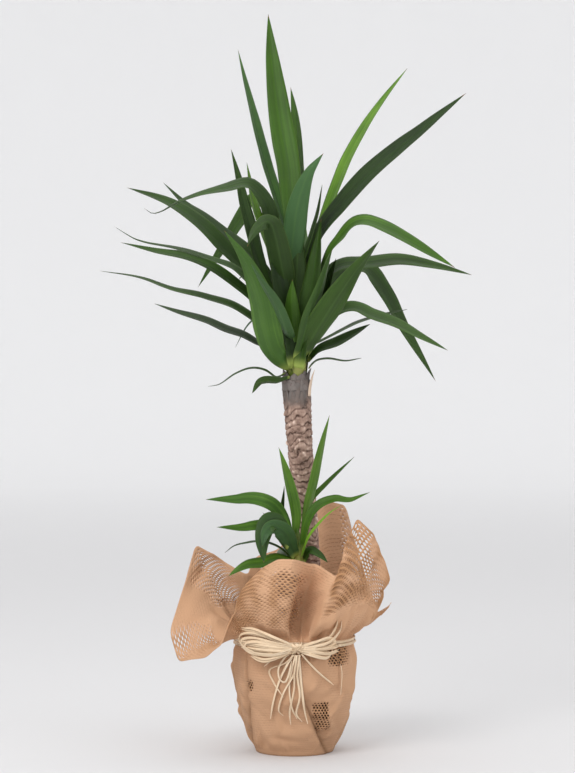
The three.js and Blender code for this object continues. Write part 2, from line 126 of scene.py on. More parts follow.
def run_along(line):
    """The distance of each point of a line from its start."""
    steps = np.linalg.norm(np.diff(line[:, :3], axis=0), axis=1)
    return np.concatenate([[0], np.cumsum(steps)])


def spline(points, count, closed=False):
    """count points evenly spaced on a smooth curve through the given ones."""
    p = np.asarray(points, float)
    if closed:
        p = np.vstack([p[-1], p, p[0], p[1]])
    else:
        p = np.vstack([2 * p[0] - p[1], p, 2 * p[-1] - p[-2]])
    fine = []
    t = np.linspace(0, 1, 24, endpoint=False)[:, None]
    for a, b, c, d in zip(p, p[1:], p[2:], p[3:]):
        fine.append(0.5 * (2 * b + (c - a) * t + (2 * a - 5 * b + 4 * c - d) * t ** 2
                           + (3 * b - a - 3 * c + d) * t ** 3))
    fine = np.vstack([*fine, p[-2][None]])
    run = run_along(fine)
    wanted = np.linspace(0, run[-1], count)
    return np.stack([np.interp(wanted, run, fine[:, k]) for k in range(p.shape[1])], axis=1)


def ring_faces(rings, around, first=0):
    """Faces of a tube of rings of points, the first of which is point number first."""
    faces = []
    for i in range(rings - 1):
        for k in range(around):
            a, b = (first + i * around + n % around for n in (k, k + 1))
            faces.append((a, b, b + around, a + around))
    return faces


def finish_piece(piece, material, slot, *nodes):
    piece.data.materials.append(material)
    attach(piece, "root")
    if nodes:
        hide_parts(*nodes)
    return piece


trial = noise(np.random.default_rng(0).random((500, 3)), 0.1)
print("noise: from", round(float(trial.min()), 2), "to", round(float(trial.max()), 2))

# %% [markdown]
# Materials are node trees. Two effects come back in several of them, so they are node groups:
# fibres, which are long streaks in the direction a thing grew, and mottle, which is soft blotches
# over specks. A small set of helpers keeps each tree readable.

# %% Node helpers
def link(tree, source, target):
    tree.links.new(source, target)


def node(tree, kind, **settings):
    made = tree.nodes.new(kind)
    for key, value in settings.items():
        if key in made.inputs:
            made.inputs[key].default_value = value
        else:
            setattr(made, key, value)
    return made


def blend_colour(tree, factor, first, second, mode="MIX"):
    made = tree.nodes.new("ShaderNodeMix")
    made.data_type = "RGBA"
    made.blend_type = mode
    for socket, value in ((made.inputs[0], factor), (made.inputs[6], first),
                          (made.inputs[7], second)):
        if isinstance(value, bpy.types.NodeSocket):
            link(tree, value, socket)
        elif isinstance(value, (int, float)):
            socket.default_value = value
        else:
            socket.default_value = (*value, 1)
    return made.outputs[2]


def span(tree, value, low, high, to_low=0.0, to_high=1.0):
    made = tree.nodes.new("ShaderNodeMapRange")
    made.interpolation_type = "SMOOTHSTEP"
    link(tree, value, made.inputs[0])
    for socket, number in zip(made.inputs[1:5], (low, high, to_low, to_high)):
        socket.default_value = number
    return made.outputs[0]


def calc(tree, operation, first, second=0.0):
    made = tree.nodes.new("ShaderNodeMath")
    made.operation = operation
    for socket, value in zip(made.inputs, (first, second)):
        if isinstance(value, bpy.types.NodeSocket):
            link(tree, value, socket)
        else:
            socket.default_value = value
    return made.outputs[0]


def carried(tree, name, output="Fac"):
    return node(tree, "ShaderNodeAttribute", attribute_name=name).outputs[output]


def new_material(name, roughness, **constants):
    made = bpy.data.materials.new(name)
    made.use_nodes = True
    shader = made.node_tree.nodes["Principled BSDF"]
    shader.inputs["Roughness"].default_value = roughness
    for key, value in constants.items():
        shader.inputs[key.replace("_", " ")].default_value = value
    return made, made.node_tree, shader


def new_group(name, inputs, outputs):
    group = bpy.data.node_groups.new(name, "ShaderNodeTree")
    for title, kind, value in inputs:
        socket = group.interface.new_socket(title, in_out="INPUT", socket_type=kind)
        if value is not None:
            socket.default_value = value
    for title, kind in outputs:
        group.interface.new_socket(title, in_out="OUTPUT", socket_type=kind)
    return group, group.nodes.new("NodeGroupInput"), group.nodes.new("NodeGroupOutput")


def place_group(tree, group, coordinates, **values):
    made = tree.nodes.new("ShaderNodeGroup")
    made.node_tree = group
    link(tree, coordinates, made.inputs["Coordinates"])
    for key, value in values.items():
        made.inputs[key.replace("_", " ")].default_value = value
    return made


def bump(tree, shader, height, distance, strength=1.0):
    made = node(tree, "ShaderNodeBump", Strength=strength, Distance=distance)
    link(tree, height, made.inputs["Height"])
    link(tree, made.outputs[0], shader.inputs["Normal"])


print("node helpers: materials, groups, blends and bumps")

# %% [markdown]
# The fibres group stretches a noise field along the growth direction: many bands across, few
# along. It gives a broad streak and a fine one, and each material decides what they mean.

# %% Fibres group
def make_fibres():
    group, given, out = new_group("fibres", [
        ("Coordinates", "NodeSocketVector", None), ("Across", "NodeSocketFloat", 900.0),
        ("Along", "NodeSocketFloat", 20.0), ("Detail", "NodeSocketFloat", 3.0)],
        [("Streaks", "NodeSocketFloat"), ("Fine", "NodeSocketFloat")])
    scale = group.nodes.new("ShaderNodeCombineXYZ")
    link(group, given.outputs["Across"], scale.inputs[0])
    link(group, given.outputs["Along"], scale.inputs[1])
    scale.inputs[2].default_value = 1.0
    stretched = node(group, "ShaderNodeVectorMath", operation="MULTIPLY")
    link(group, given.outputs["Coordinates"], stretched.inputs[0])
    link(group, scale.outputs[0], stretched.inputs[1])
    for title, size in (("Streaks", 0.3), ("Fine", 1.4)):
        field = node(group, "ShaderNodeTexNoise", Scale=size)
        link(group, given.outputs["Detail"], field.inputs["Detail"])
        link(group, stretched.outputs[0], field.inputs["Vector"])
        link(group, field.outputs[0], out.inputs[title])
    return group


FIBRES = make_fibres()
print("fibres:", len(FIBRES.nodes), "nodes")

# %% [markdown]
# The mottle group is two noise fields, one large and one small. Bark, wax, soil and paper all have
# cloudy patches with specks on them, so they share it and only set the two sizes.

# %% Mottle group
def make_mottle():
    group, given, out = new_group("mottle", [
        ("Coordinates", "NodeSocketVector", None), ("Blotches", "NodeSocketFloat", 40.0),
        ("Specks", "NodeSocketFloat", 600.0)],
        [("Blotch", "NodeSocketFloat"), ("Speck", "NodeSocketFloat")])
    for title, size in (("Blotch", "Blotches"), ("Speck", "Specks")):
        field = node(group, "ShaderNodeTexNoise", Detail=4.0)
        link(group, given.outputs["Coordinates"], field.inputs["Vector"])
        link(group, given.outputs[size], field.inputs["Scale"])
        link(group, field.outputs[0], out.inputs[title])
    return group


MOTTLE = make_mottle()
print("mottle:", len(MOTTLE.nodes), "nodes")

# %% [markdown]
# A yucca blade is satin green with fine veins from root to tip, a pale root where the light never
# reached, a thin yellowish margin and a dry brown point. Its underside is paler and bluer. The
# blade's own points carry all of that, so the material follows every bend without a picture.

# %% Leaf material
def leaf_material():
    made, tree, shader = new_material("yucca_leaf", 0.5, Specular_IOR_Level=0.28)
    place = carried(tree, "leaf_place", "Vector")
    across, along, under = (carried(tree, n) for n in ("across", "along", "under"))
    tone, blue = carried(tree, "tone"), carried(tree, "blue")
    veins = place_group(tree, FIBRES, place, Across=1100.0, Along=14.0)
    cloudy = place_group(tree, MOTTLE, place, Blotches=22.0, Specks=300.0)
    lift = calc(tree, "MULTIPLY", calc(tree, "SUBTRACT", veins.outputs["Streaks"], 0.5), 0.5)
    wash = calc(tree, "MULTIPLY", calc(tree, "SUBTRACT", cloudy.outputs["Blotch"], 0.5), 0.35)
    level = calc(tree, "ADD", calc(tree, "ADD", tone, lift), wash)
    ramp = node(tree, "ShaderNodeValToRGB")
    stops = ((0.0, (0.008, 0.022, 0.003)), (0.3, (0.021, 0.053, 0.004)),
             (0.6, (0.044, 0.118, 0.004)), (1.0, (0.18, 0.36, 0.028)))
    for _ in range(len(stops) - 2):
        ramp.color_ramp.elements.new(0.5)
    for element, (place_on, colour) in zip(ramp.color_ramp.elements, stops):
        element.position = place_on
        element.color = (*colour, 1)
    link(tree, level, ramp.inputs[0])
    colour = blend_colour(tree, blue, ramp.outputs[0], (0.060, 0.15, 0.062))
    paler = calc(tree, "MULTIPLY", under, 0.25)
    colour = blend_colour(tree, paler, colour, (0.070, 0.135, 0.030))
    side = calc(tree, "ABSOLUTE", across)
    groove = calc(tree, "MULTIPLY", span(tree, side, 0.0, 0.13, 1.0, 0.0), 0.22)
    rib = blend_colour(tree, under, (0.010, 0.035, 0.006), (0.10, 0.20, 0.045))
    colour = blend_colour(tree, groove, colour, rib)
    margin = calc(tree, "MULTIPLY", span(tree, side, 0.9, 0.99), 0.2)
    colour = blend_colour(tree, margin, colour, (0.17, 0.24, 0.06))
    colour = blend_colour(tree, span(tree, along, 0.09, 0.0), colour, (0.30, 0.38, 0.08))
    ragged = calc(tree, "ADD", along, calc(tree, "MULTIPLY", lift, 0.06))
    colour = blend_colour(tree, span(tree, ragged, 0.975, 0.995), colour, (0.16, 0.085, 0.03))
    link(tree, colour, shader.inputs["Base Color"])
    rough = span(tree, veins.outputs["Fine"], 0.2, 0.8, 0.42, 0.6)
    link(tree, rough, shader.inputs["Roughness"])
    height = calc(tree, "ADD", veins.outputs["Fine"], veins.outputs["Streaks"])
    bump(tree, shader, height, 0.0006, 0.5)
    return made


LEAF = leaf_material()
print("leaf material:", len(LEAF.node_tree.nodes), "nodes")

# %% [markdown]
# The frame holds each leaf as a few rings of four points: keel, edges and groove. Reading them
# back gives the leaf's line, breadth and facing, so the fine blade lies exactly where the solid
# does. The rings are found by walking from the pointed tip, four points at a time.

# %% Read a leaf's rings
def welded(name):
    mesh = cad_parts[name].data
    points = np.array([v.co for v in mesh.vertices], float)
    _, first, same = np.unique(np.round(points, 6), axis=0, return_index=True,
                               return_inverse=True)
    same = same.ravel()
    beside = [set() for _ in first]
    for polygon in mesh.polygons:
        corners = [same[v] for v in polygon.vertices]
        for a in corners:
            beside[a].update(b for b in corners if b != a)
    return points[first], beside


def layers_from(start, beside):
    seen, layers = {start}, [[start]]
    while True:
        following = sorted({b for a in layers[-1] for b in beside[a]} - seen)
        if not following:
            return layers
        seen.update(following)
        layers.append(following)


def leaf_rings(name):
    """Centre, side, upper and half breadth of a leaf's rings, from its root to its tip."""
    points, beside = welded(name)
    for start, around in enumerate(beside):
        layers = layers_from(start, beside) if len(around) == 4 else []
        if layers and all(len(layer) == 4 for layer in layers[1:]):
            break
    else:
        raise ValueError(f"{name} has no pointed tip")
    tip = points[start]
    centres, sides, uppers, halves = [], [], [], []
    rings = [points[layer] for layer in layers[:0:-1]]
    middles = [ring.mean(axis=0) for ring in rings] + [tip]
    for k, ring in enumerate(rings):
        gaps = np.linalg.norm(ring[:, None] - ring[None], axis=2)
        a, b = np.unravel_index(np.argmax(gaps), gaps.shape)
        c, d = [i for i in range(4) if i not in (a, b)]
        raised = (ring[a] + ring[b]) / 2 - (ring[c] + ring[d]) / 2
        upper = unit(raised)
        onward = middles[k + 1] - middles[k]
        across = ring[a] - ring[b]
        if np.dot(np.cross(upper, onward), across) < 0:
            across = -across
        centres.append((ring[c] + ring[d]) / 2)
        sides.append(unit(across))
        uppers.append(upper)
        halves.append(np.linalg.norm(across) / 2)
    return (np.array([*centres, tip]), np.array([*sides, sides[-1]]),
            np.array([*uppers, uppers[-1]]), np.array([*halves, 0.0]))


tallest = leaf_rings("crown_leaf_01")[0]
print("crown_leaf_01:", len(tallest), "rings,", round(run_along(tallest)[-1], 3), "m long")

# %% [markdown]
# A blade is one closed skin: its upper face, its lower face a little below, and both joined at the
# margins. Its section is a shallow gutter with a crease down the middle. The breadth comes from
# the rings, and a little waviness, different for each leaf, keeps the margins from being rulers.

# %% Loft a blade
def blade(name, rings, tone, blue=0.0, seed=1, gutter=0.42, clasp=0.6, lean=0.0,
          facing=0.0, breadth=1.0, stations=56, columns=9):
    centres, sides, uppers, halves = rings
    packed = np.hstack([centres, sides, uppers, halves[:, None]])
    fine = spline(packed, stations)
    centre, half = fine[:, :3], np.maximum(fine[:, 9], 0)
    onward = unit(np.gradient(centre, axis=0))
    side = unit(fine[:, 3:6] - onward * np.sum(fine[:, 3:6] * onward, axis=1, keepdims=True))
    upper = unit(np.cross(onward, side))
    upper *= np.sign(np.sum(upper * fine[:, 6:9], axis=1, keepdims=True))
    if facing:
        front = np.array([0.0, -1.0, 0.0])
        seen = unit(front - onward * (onward @ front)[:, None])
        upper = unit(upper * (1 - facing) + seen * facing)
        turned = np.cross(upper, onward)
        side = turned * np.sign(np.sum(turned * side, axis=1, keepdims=True))
    run = run_along(centre)
    t = run / run[-1]
    half = half * (1 + clasp * (1 - smooth_step(0, 0.16, t)))
    half = half * (1 + lean * (0.9 - 2 * t) * smooth_step(0, 0.3, t)) * breadth
    half *= 1 + 0.03 * noise(np.stack([run, 0 * run, 0 * run + seed * 7.7], 1), 0.03, seed)
    points, place, across, under = [], [], [], []
    spread = np.linspace(-1, 1, columns)
    for face in (0, 1):
        for a in (spread if face == 0 else spread[::-1]):
            rise = gutter * (abs(a) - 0.25 * a * a) * (1 - 0.35 * np.sin(np.pi * t))
            ripple = noise(np.stack([run, 0 * run + a * 0.01, 0 * run + seed], 1), 0.028, seed + 5)
            rise = rise + 0.07 * ripple * abs(a) ** 2
            skin = (0.00085 * (1 - abs(a)) + 0.00022) * np.clip(1.15 - t, 0.25, 1)
            offset = half * rise - (skin if face else 0)
            points.append(centre + side * (half * a)[:, None] + upper * offset[:, None])
            place.append(np.stack([half * a, run, 0 * run + seed * 0.37], 1))
            across.append(np.full(stations, a))
            under.append(np.full(stations, float(face)))
    ring = 2 * columns
    order = lambda rows: np.stack(rows, axis=1)[:-1].reshape(-1, *np.shape(rows[0])[1:])
    skin_points = np.vstack([order(points), centre[-1:]])
    values = {"leaf_place": np.vstack([order(place), [[0, run[-1], seed * 0.37]]]),
              "across": np.append(order(across), 0), "under": np.append(order(under), 0.5),
              "along": np.append(np.repeat(t[:-1], ring), 1)}
    count = len(skin_points)
    values["tone"] = np.full(count, tone)
    values["blue"] = np.full(count, blue)
    faces = ring_faces(stations - 1, ring)
    last = (stations - 2) * ring
    faces += [(last + k, last + (k + 1) % ring, count - 1) for k in range(ring)]
    faces += [(k + 1, k, ring - 1 - k, ring - 2 - k) for k in range(columns - 1)]
    return new_object(name, skin_points, faces, values)


print("blade: one closed skin of two faces")

# %% [markdown]
# The youngest leaves, in the middle, are the brightest. Old ones are dark, and one at the front has
# a blue-grey bloom. Those differences are set leaf by leaf, as tone from dark to bright. The tone
# also paints light: brighter for leaves that light shines through, darker for leaves in shade.

# %% Crown and shoot leaves
# Tone per leaf, from dark to bright: partly the leaf's age and partly painted light, bright where
# light shines through a leaf and dark where it lies in shade.
TONE_AND_LIGHT = {
    "crown_leaf_01": 0.5, "crown_leaf_02": 0.55, "crown_leaf_03": 0.5, "crown_leaf_04": 0.72,
    "crown_leaf_05": 0.14, "crown_leaf_06": 0.42, "crown_leaf_07": 0.4, "crown_leaf_08": 0.55,
    "crown_leaf_09": 0.36, "crown_leaf_10": 0.32, "crown_leaf_11": 0.34, "crown_leaf_12": 0.46,
    "crown_leaf_13": 0.36, "crown_leaf_14": 0.3, "crown_leaf_15": 0.3, "crown_leaf_16": 0.6,
    "crown_leaf_17": 0.22, "crown_leaf_18": 0.3, "crown_leaf_19": 0.3, "crown_leaf_20": 0.12,
    "crown_leaf_21": 0.8, "crown_leaf_22": 0.4, "crown_leaf_23": 0.3, "crown_leaf_24": 0.26,
    "crown_leaf_25": 0.36, "crown_leaf_26": 0.4, "crown_leaf_27": 0.34, "crown_leaf_28": 0.26,
    "crown_leaf_29": 0.3, "crown_leaf_30": 0.3, "crown_leaf_31": 0.45, "crown_leaf_32": 0.4,
    "shoot_leaf_01": 0.74, "shoot_leaf_02": 0.72, "shoot_leaf_03": 0.5, "shoot_leaf_04": 0.6,
    "shoot_leaf_05": 1.25, "shoot_leaf_06": 0.62, "shoot_leaf_07": 0.58, "shoot_leaf_08": 0.34,
    "shoot_leaf_09": 0.3, "shoot_leaf_11": 0.66, "shoot_leaf_12": 0.36,
}
BLOOM = {"crown_leaf_06": 0.75, "crown_leaf_16": 0.18, "crown_leaf_17": 0.5,
         "crown_leaf_02": 0.3, "shoot_leaf_08": 0.35, "shoot_leaf_06": 0.15}
# How much wider than usual a leaf is low down, and narrower near its tip.
LEAN = {"crown_leaf_16": 0.38, "crown_leaf_11": 0.3, "crown_leaf_06": 0.1}

# How far the upper face is turned to the front from the solid's own facing.
FACING = {
    "crown_leaf_08": 0.3, "crown_leaf_09": 0.15, "crown_leaf_12": 0.15, "crown_leaf_13": 0.2,
    "crown_leaf_19": 0.35, "crown_leaf_23": 0.2, "crown_leaf_24": 0.3,
    "crown_leaf_25": 0.25, "crown_leaf_26": 0.2,
    "crown_leaf_27": 0.22, "crown_leaf_28": 0.15, "shoot_leaf_03": 0.3, "shoot_leaf_04": 0.5,
    "shoot_leaf_06": 0.55, "shoot_leaf_07": 0.55, "shoot_leaf_11": 0.4, "shoot_leaf_12": 0.3,
}
BREADTH = {"shoot_leaf_05": 0.6, "crown_leaf_30": 0.8, "shoot_leaf_12": 0.8}

leaf_nodes = sorted(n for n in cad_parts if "_leaf_" in n)
for number, name in enumerate(leaf_nodes):
    piece = blade(name + "_blade", leaf_rings(name), TONE_AND_LIGHT.get(name, 0.4), BLOOM.get(name, 0.0),
                  seed=number + 1, lean=LEAN.get(name, 0.0), facing=FACING.get(name, 0.0),
                  breadth=BREADTH.get(name, 1.0))
    finish_piece(piece, LEAF, "leaf", name)
print("blades:", len(leaf_nodes))

# %% [markdown]
# A few small leaves have no solid of their own: dry or curled ends and short leaves among the
# others. They are lofted the same way, from a line of points and a breadth. roll turns the upper
# face about the line, from 0, which faces the front.

# %% Small extra leaves
def line_rings(points_mm, width_mm, roll, count=14):
    line = spline(np.array(points_mm, float) * MM, count)
    onward = unit(np.gradient(line, axis=0))
    front = np.array([0.0, -1.0, 0.0])
    first = unit(front - onward * (onward @ front)[:, None])
    second = np.cross(onward, first)
    turn = np.radians(np.linspace(roll[0], roll[1], count))[:, None]
    upper = first * np.cos(turn) + second * np.sin(turn)
    side = np.cross(upper, onward)
    t = np.linspace(0, 1, count)
    breadth = np.where(t < 0.45, 0.35 + 0.65 * np.sin(np.pi / 2 * t / 0.45),
                       1 - np.clip((t - 0.45) / 0.55, 0, 1) ** 1.9)
    return line, side, upper, breadth * width_mm * MM / 2


EXTRA_LEAVES = {
    "inner_short_leaf": ([(1, -20, 500), (-2, -38, 535), (-4, -50, 565), (-3, -58, 592)],
                         20, (170, 170), 0.62, 0.0),
    "inner_right_leaf": ([(6, -24, 482), (12, -32, 534), (22, -38, 590), (29, -40, 640),
                          (33, -42, 668)], 25, (-25, -35), 0.34, 0.0),
    "inner_left_leaf": ([(-2, -22, 486), (-8, -34, 534), (-18, -44, 585), (-27, -50, 630),
                         (-32, -52, 655)], 25, (20, 25), 0.12, 0.0),
    "inner_front_leaf": ([(0, -20, 500), (0, -26, 550), (3, -30, 610), (6, -32, 665)],
                         27, (170, 170), 0.2, 0.0),
    "inner_dark_leaf": ([(8, -10, 484), (26, -14, 540), (42, -18, 590), (52, -20, 620)],
                        22, (-40, -40), 0.16, 0.0),
    "shoot_hanging_leaf": ([(-6, -50, 262), (-20, -64, 288), (-32, -73, 292), (-39, -80, 272),
                            (-38, -84, 244)], 25, (30, 10), 0.3, 0.1),
    "inner_side_leaf": ([(4, -22, 494), (16, -46, 540), (32, -66, 582), (46, -80, 628)],
                        22, (-140, -120), 0.36, 0.1),
    "dry_tip_leaf": ([(-16, 16, 520), (-40, 30, 545), (-58, 38, 538), (-76, 44, 508)],
                     9, (70, 80), 0.05, 0.6),
    "back_small_leaf": ([(-10, 22, 560), (-40, 50, 590), (-60, 66, 604), (-74, 76, 594)],
                        12, (60, 60), 0.3, 0.3),
    "grey_small_leaf": ([(-8, 26, 620), (-20, 52, 660), (-30, 66, 684), (-34, 72, 700)],
                        12, (30, 30), 0.4, 0.6),
    "shoot_back_leaf": ([(0, -28, 257), (-12, -20, 282), (-17, -17, 302), (-13, -15, 335)],
                        13, (60, 60), 0.28, 0.1),
    "shoot_small_leaf": ([(-4, -30, 254), (-20, -30, 278), (-34, -32, 292), (-40, -34, 303)],
                         9, (80, 70), 0.25, 0.1),
    "left_back_leaf": ([(-14, 20, 505), (-20, 70, 540), (-34, 120, 566), (-52, 165, 560)],
                       24, (10, 20), 0.4, 0.0),
    "right_back_leaf": ([(16, 20, 520), (30, 70, 560), (44, 120, 590), (52, 170, 590)],
                        24, (-10, -20), 0.42, 0.0),
}
for number, (name, (points, width, roll, tone, blue)) in enumerate(EXTRA_LEAVES.items()):
    piece = blade(name, line_rings(points, width, roll), tone, blue, seed=70 + number)
    finish_piece(piece, LEAF, "leaf")
print("extra leaves:", len(EXTRA_LEAVES))

# %% [markdown]
# The tall cane is an old stem that lost its leaves. Each leaf left a thin scar across the cane, and
# the bark between the scars cracked into corky plates with pinkish edges. The top is still in grey
# papery leaf bases. The relief is real geometry on a fine tube, and its depth also drives colour.

# %% Bark material
def bark_material():
    made, tree, shader = new_material("cane_bark", 0.85, Specular_IOR_Level=0.25)
    place = carried(tree, "cane_place", "Vector")
    depth, papery = carried(tree, "relief"), carried(tree, "papery")
    cloudy = place_group(tree, MOTTLE, place, Blotches=70.0, Specks=500.0)
    grain = place_group(tree, FIBRES, place, Across=90.0, Along=1500.0)
    ramp = node(tree, "ShaderNodeValToRGB")
    stops = ((0.0, (0.085, 0.048, 0.036)), (0.28, (0.23, 0.145, 0.112)),
             (0.6, (0.38, 0.255, 0.20)), (0.8, (0.54, 0.38, 0.31)), (1.0, (0.86, 0.67, 0.57)))
    for _ in range(len(stops) - 2):
        ramp.color_ramp.elements.new(0.5)
    for element, (place_on, colour) in zip(ramp.color_ramp.elements, stops):
        element.position = place_on
        element.color = (*colour, 1)
    jitter = calc(tree, "MULTIPLY", calc(tree, "SUBTRACT", cloudy.outputs["Blotch"], 0.5), 0.9)
    streak = calc(tree, "MULTIPLY", calc(tree, "SUBTRACT", grain.outputs["Streaks"], 0.5), 0.5)
    link(tree, calc(tree, "ADD", depth, calc(tree, "ADD", jitter, streak)), ramp.inputs[0])
    colour = blend_colour(tree, span(tree, cloudy.outputs["Speck"], 0.56, 0.66, 0.0, 0.5),
                          ramp.outputs[0], (0.45, 0.33, 0.26))
    grey = blend_colour(tree, cloudy.outputs["Blotch"], (0.075, 0.066, 0.062), (0.20, 0.175, 0.16))
    colour = blend_colour(tree, calc(tree, "MULTIPLY", papery, 0.85), colour, grey)
    link(tree, colour, shader.inputs["Base Color"])
    link(tree, span(tree, grain.outputs["Fine"], 0.2, 0.8, 0.72, 0.95), shader.inputs["Roughness"])
    bump(tree, shader, calc(tree, "ADD", grain.outputs["Fine"], cloudy.outputs["Speck"]),
         0.0008, 0.7)
    return made


BARK = bark_material()
print("bark material:", len(BARK.node_tree.nodes), "nodes")

# %% [markdown]
# The cane itself is a tube on the line and radii of its solid. Its skin is pushed in at each scar
# and at the cracks between plates, and the same height goes to the material as relief.

# %% Cane loft
def cane_line(name, around=16):
    """Centres and radii of a CAD limb's rings, from the bottom up."""
    points, _ = welded(name)
    points = points[np.argsort(points[:, 2])]
    rings = points[: len(points) // around * around].reshape(-1, around, 3)
    centres = rings.mean(axis=1)
    radii = np.linalg.norm(rings[:, :, :2] - centres[:, None, :2], axis=2).mean(axis=1)
    return np.hstack([centres, radii[:, None]])


def scar_relief(turn, run, seed, pitch=0.0085):
    """Depth in metres and a 0 to 1 height of cracked bark between leaf scars."""
    ring = np.stack([np.cos(turn), np.sin(turn), run * 40], -1)
    sway = noise(ring, 0.9, seed) * 0.5 + noise(ring, 0.35, seed + 1) * 0.2
    phase = run / pitch + sway * 1.9
    scar = np.abs((phase % 1) - 0.5) * 2
    plates = noise(np.stack([np.cos(turn) * 3.2, np.sin(turn) * 3.2, run * 330], -1), 1, seed + 2)
    chips = noise(np.stack([np.cos(turn) * 9, np.sin(turn) * 9, run * 520], -1), 1, seed + 3)
    height = 0.55 * smooth_step(0.04, 0.35, scar) + 0.3 * plates + 0.22 * chips
    height = height + 0.25 * smooth_step(0.25, 0.5, chips * plates)
    return height


def cane(name, line, around, rows, seed, depth, papery_from=None, **options):
    fine = spline(line, rows)
    turn = np.linspace(0, 2 * np.pi, around, endpoint=False)
    run = run_along(fine)
    turns, runs = np.meshgrid(turn, run)
    height = scar_relief(turns, runs, seed, **options)
    papery = np.zeros_like(height)
    if papery_from is not None:
        papery = smooth_step(papery_from - 0.012, papery_from + 0.012,
                             fine[:, 2][:, None] + 0.008 * noise(
                                 np.stack([np.cos(turns), np.sin(turns), runs * 30], -1), 0.5, 9))
        folds = noise(np.stack([np.cos(turns) * 5, np.sin(turns) * 5, runs * 60], -1), 1, 4)
        height = height * (1 - papery) + (0.5 + 0.5 * folds) * papery
    reach = fine[:, 3][:, None] + (height - 0.6) * depth
    x = fine[:, 0][:, None] + reach * np.cos(turns)
    y = fine[:, 1][:, None] + reach * np.sin(turns)
    z = np.repeat(fine[:, 2][:, None], around, axis=1)
    z = z + 0.0006 * noise(np.stack([x, y, z], -1), 0.006, seed + 8)
    points = np.vstack([np.stack([x, y, z], -1).reshape(-1, 3), fine[:1, :3], fine[-1:, :3]])
    place = np.vstack([np.stack([np.cos(turns) * 0.016, np.sin(turns) * 0.016, runs],
                                -1).reshape(-1, 3), np.zeros((2, 3))])
    values = {"cane_place": place, "relief": np.append(height.ravel(), [0.4, 0.4]),
              "papery": np.append(papery.ravel(), [0, 1])}
    faces = ring_faces(rows, around)
    low, high, last = len(points) - 2, len(points) - 1, (rows - 1) * around
    for k in range(around):
        following = (k + 1) % around
        faces.append((following, k, low))
        faces.append((last + k, last + following, high))
    return new_object(name, points, faces, values)


main_line = cane_line("main_cane")
bark_cane = cane("cane_bark", main_line, 96, 330, 11, 0.0022, papery_from=0.437)
finish_piece(bark_cane, BARK, "bark", "main_cane")
short_line = cane_line("short_cane")
stub_top = short_line[-1, 2]
short_bark = cane("short_cane_bark", short_line[short_line[:, 2] < stub_top - 0.014], 72, 150,
                  23, 0.0018)
finish_piece(short_bark, BARK, "bark", "short_cane")
print("cane:", round(main_line[-1, 2] - main_line[0, 2], 3), "m long")

# %% [markdown]
# The short cane was sawn off and sealed: the cut is dipped in wax, which sets as a smooth cap with
# a rounded edge and a few drips. It is a turned profile, pushed in and out by noise, with a dull
# grey-green gloss.

# %% Wax cap
def wax_material():
    made, tree, shader = new_material("sealing_wax", 0.42, Coat_Weight=0.15)
    place = carried(tree, "cap_place", "Vector")
    cloudy = place_group(tree, MOTTLE, place, Blotches=160.0, Specks=900.0)
    colour = blend_colour(tree, cloudy.outputs["Blotch"], (0.055, 0.085, 0.050),
                          (0.20, 0.24, 0.16))
    link(tree, colour, shader.inputs["Base Color"])
    link(tree, span(tree, cloudy.outputs["Speck"], 0.3, 0.7, 0.34, 0.55),
         shader.inputs["Roughness"])
    bump(tree, shader, cloudy.outputs["Speck"], 0.0004, 0.5)
    return made


def wax_cap(name, centre, radius, rows=22, around=64):
    points = [centre + np.array([0, 0, 0.004])]
    for i in range(1, rows + 1):
        t = i / rows
        bend = min(t / 0.62, 1) * np.pi / 2
        reach = (radius + 0.0008) * math.sin(bend)
        fall = 0.004 - 0.009 * (1 - math.cos(bend)) - max(t - 0.62, 0) * 0.036
        for k in range(around):
            turn = 2 * math.pi * k / around
            direction = np.array([math.cos(turn), math.sin(turn), 0])
            drip = 0.004 * noise(direction, 0.5, 31) * max(t - 0.5, 0) * 2
            points.append(centre + direction * reach + np.array([0, 0, fall + drip]))
    points = np.array(points)
    outwards = unit(points - centre + np.array([0, 0, 0.006]))
    points = points + outwards * (0.0005 * noise(points, 0.006, 5))[:, None]
    faces = [(0, 1 + k, 1 + (k + 1) % around) for k in range(around)]
    faces += [face[::-1] for face in ring_faces(rows, around, first=1)]
    return new_object(name, points, faces, {"cap_place": points})


WAX = wax_material()
cap_centre = short_line[-1, :3] - np.array([0, 0, 0.004])
cap = wax_cap("wax_cap", cap_centre, short_line[5, 3])
finish_piece(cap, WAX, "bark")
print("wax cap:", len(cap.data.polygons), "faces")

# %% [markdown]
# At the top of the cane the old leaf bases dried into thin grey scales that hug it, and one torn
# base still stands off at the right. Above them come the pale living sheaths of the lowest leaves.
# Both are short blades of the same kind, in a ring, each with its own size and lean.

# %% Leaf bases round the crown
def scale_material():
    made, tree, shader = new_material("dry_scale", 0.9)
    place = carried(tree, "leaf_place", "Vector")
    fibres = place_group(tree, FIBRES, place, Across=900.0, Along=30.0)
    tone = calc(tree, "ADD", carried(tree, "tone"),
                calc(tree, "MULTIPLY", fibres.outputs["Fine"], 0.5))
    colour = blend_colour(tree, tone, (0.065, 0.056, 0.052), (0.21, 0.18, 0.165))
    colour = blend_colour(tree, carried(tree, "blue"), colour, (0.78, 0.60, 0.46))
    link(tree, colour, shader.inputs["Base Color"])
    link(tree, span(tree, fibres.outputs["Fine"], 0.2, 0.8, 0.8, 0.98), shader.inputs["Roughness"])
    bump(tree, shader, fibres.outputs["Fine"], 0.0008, 0.8)
    return made


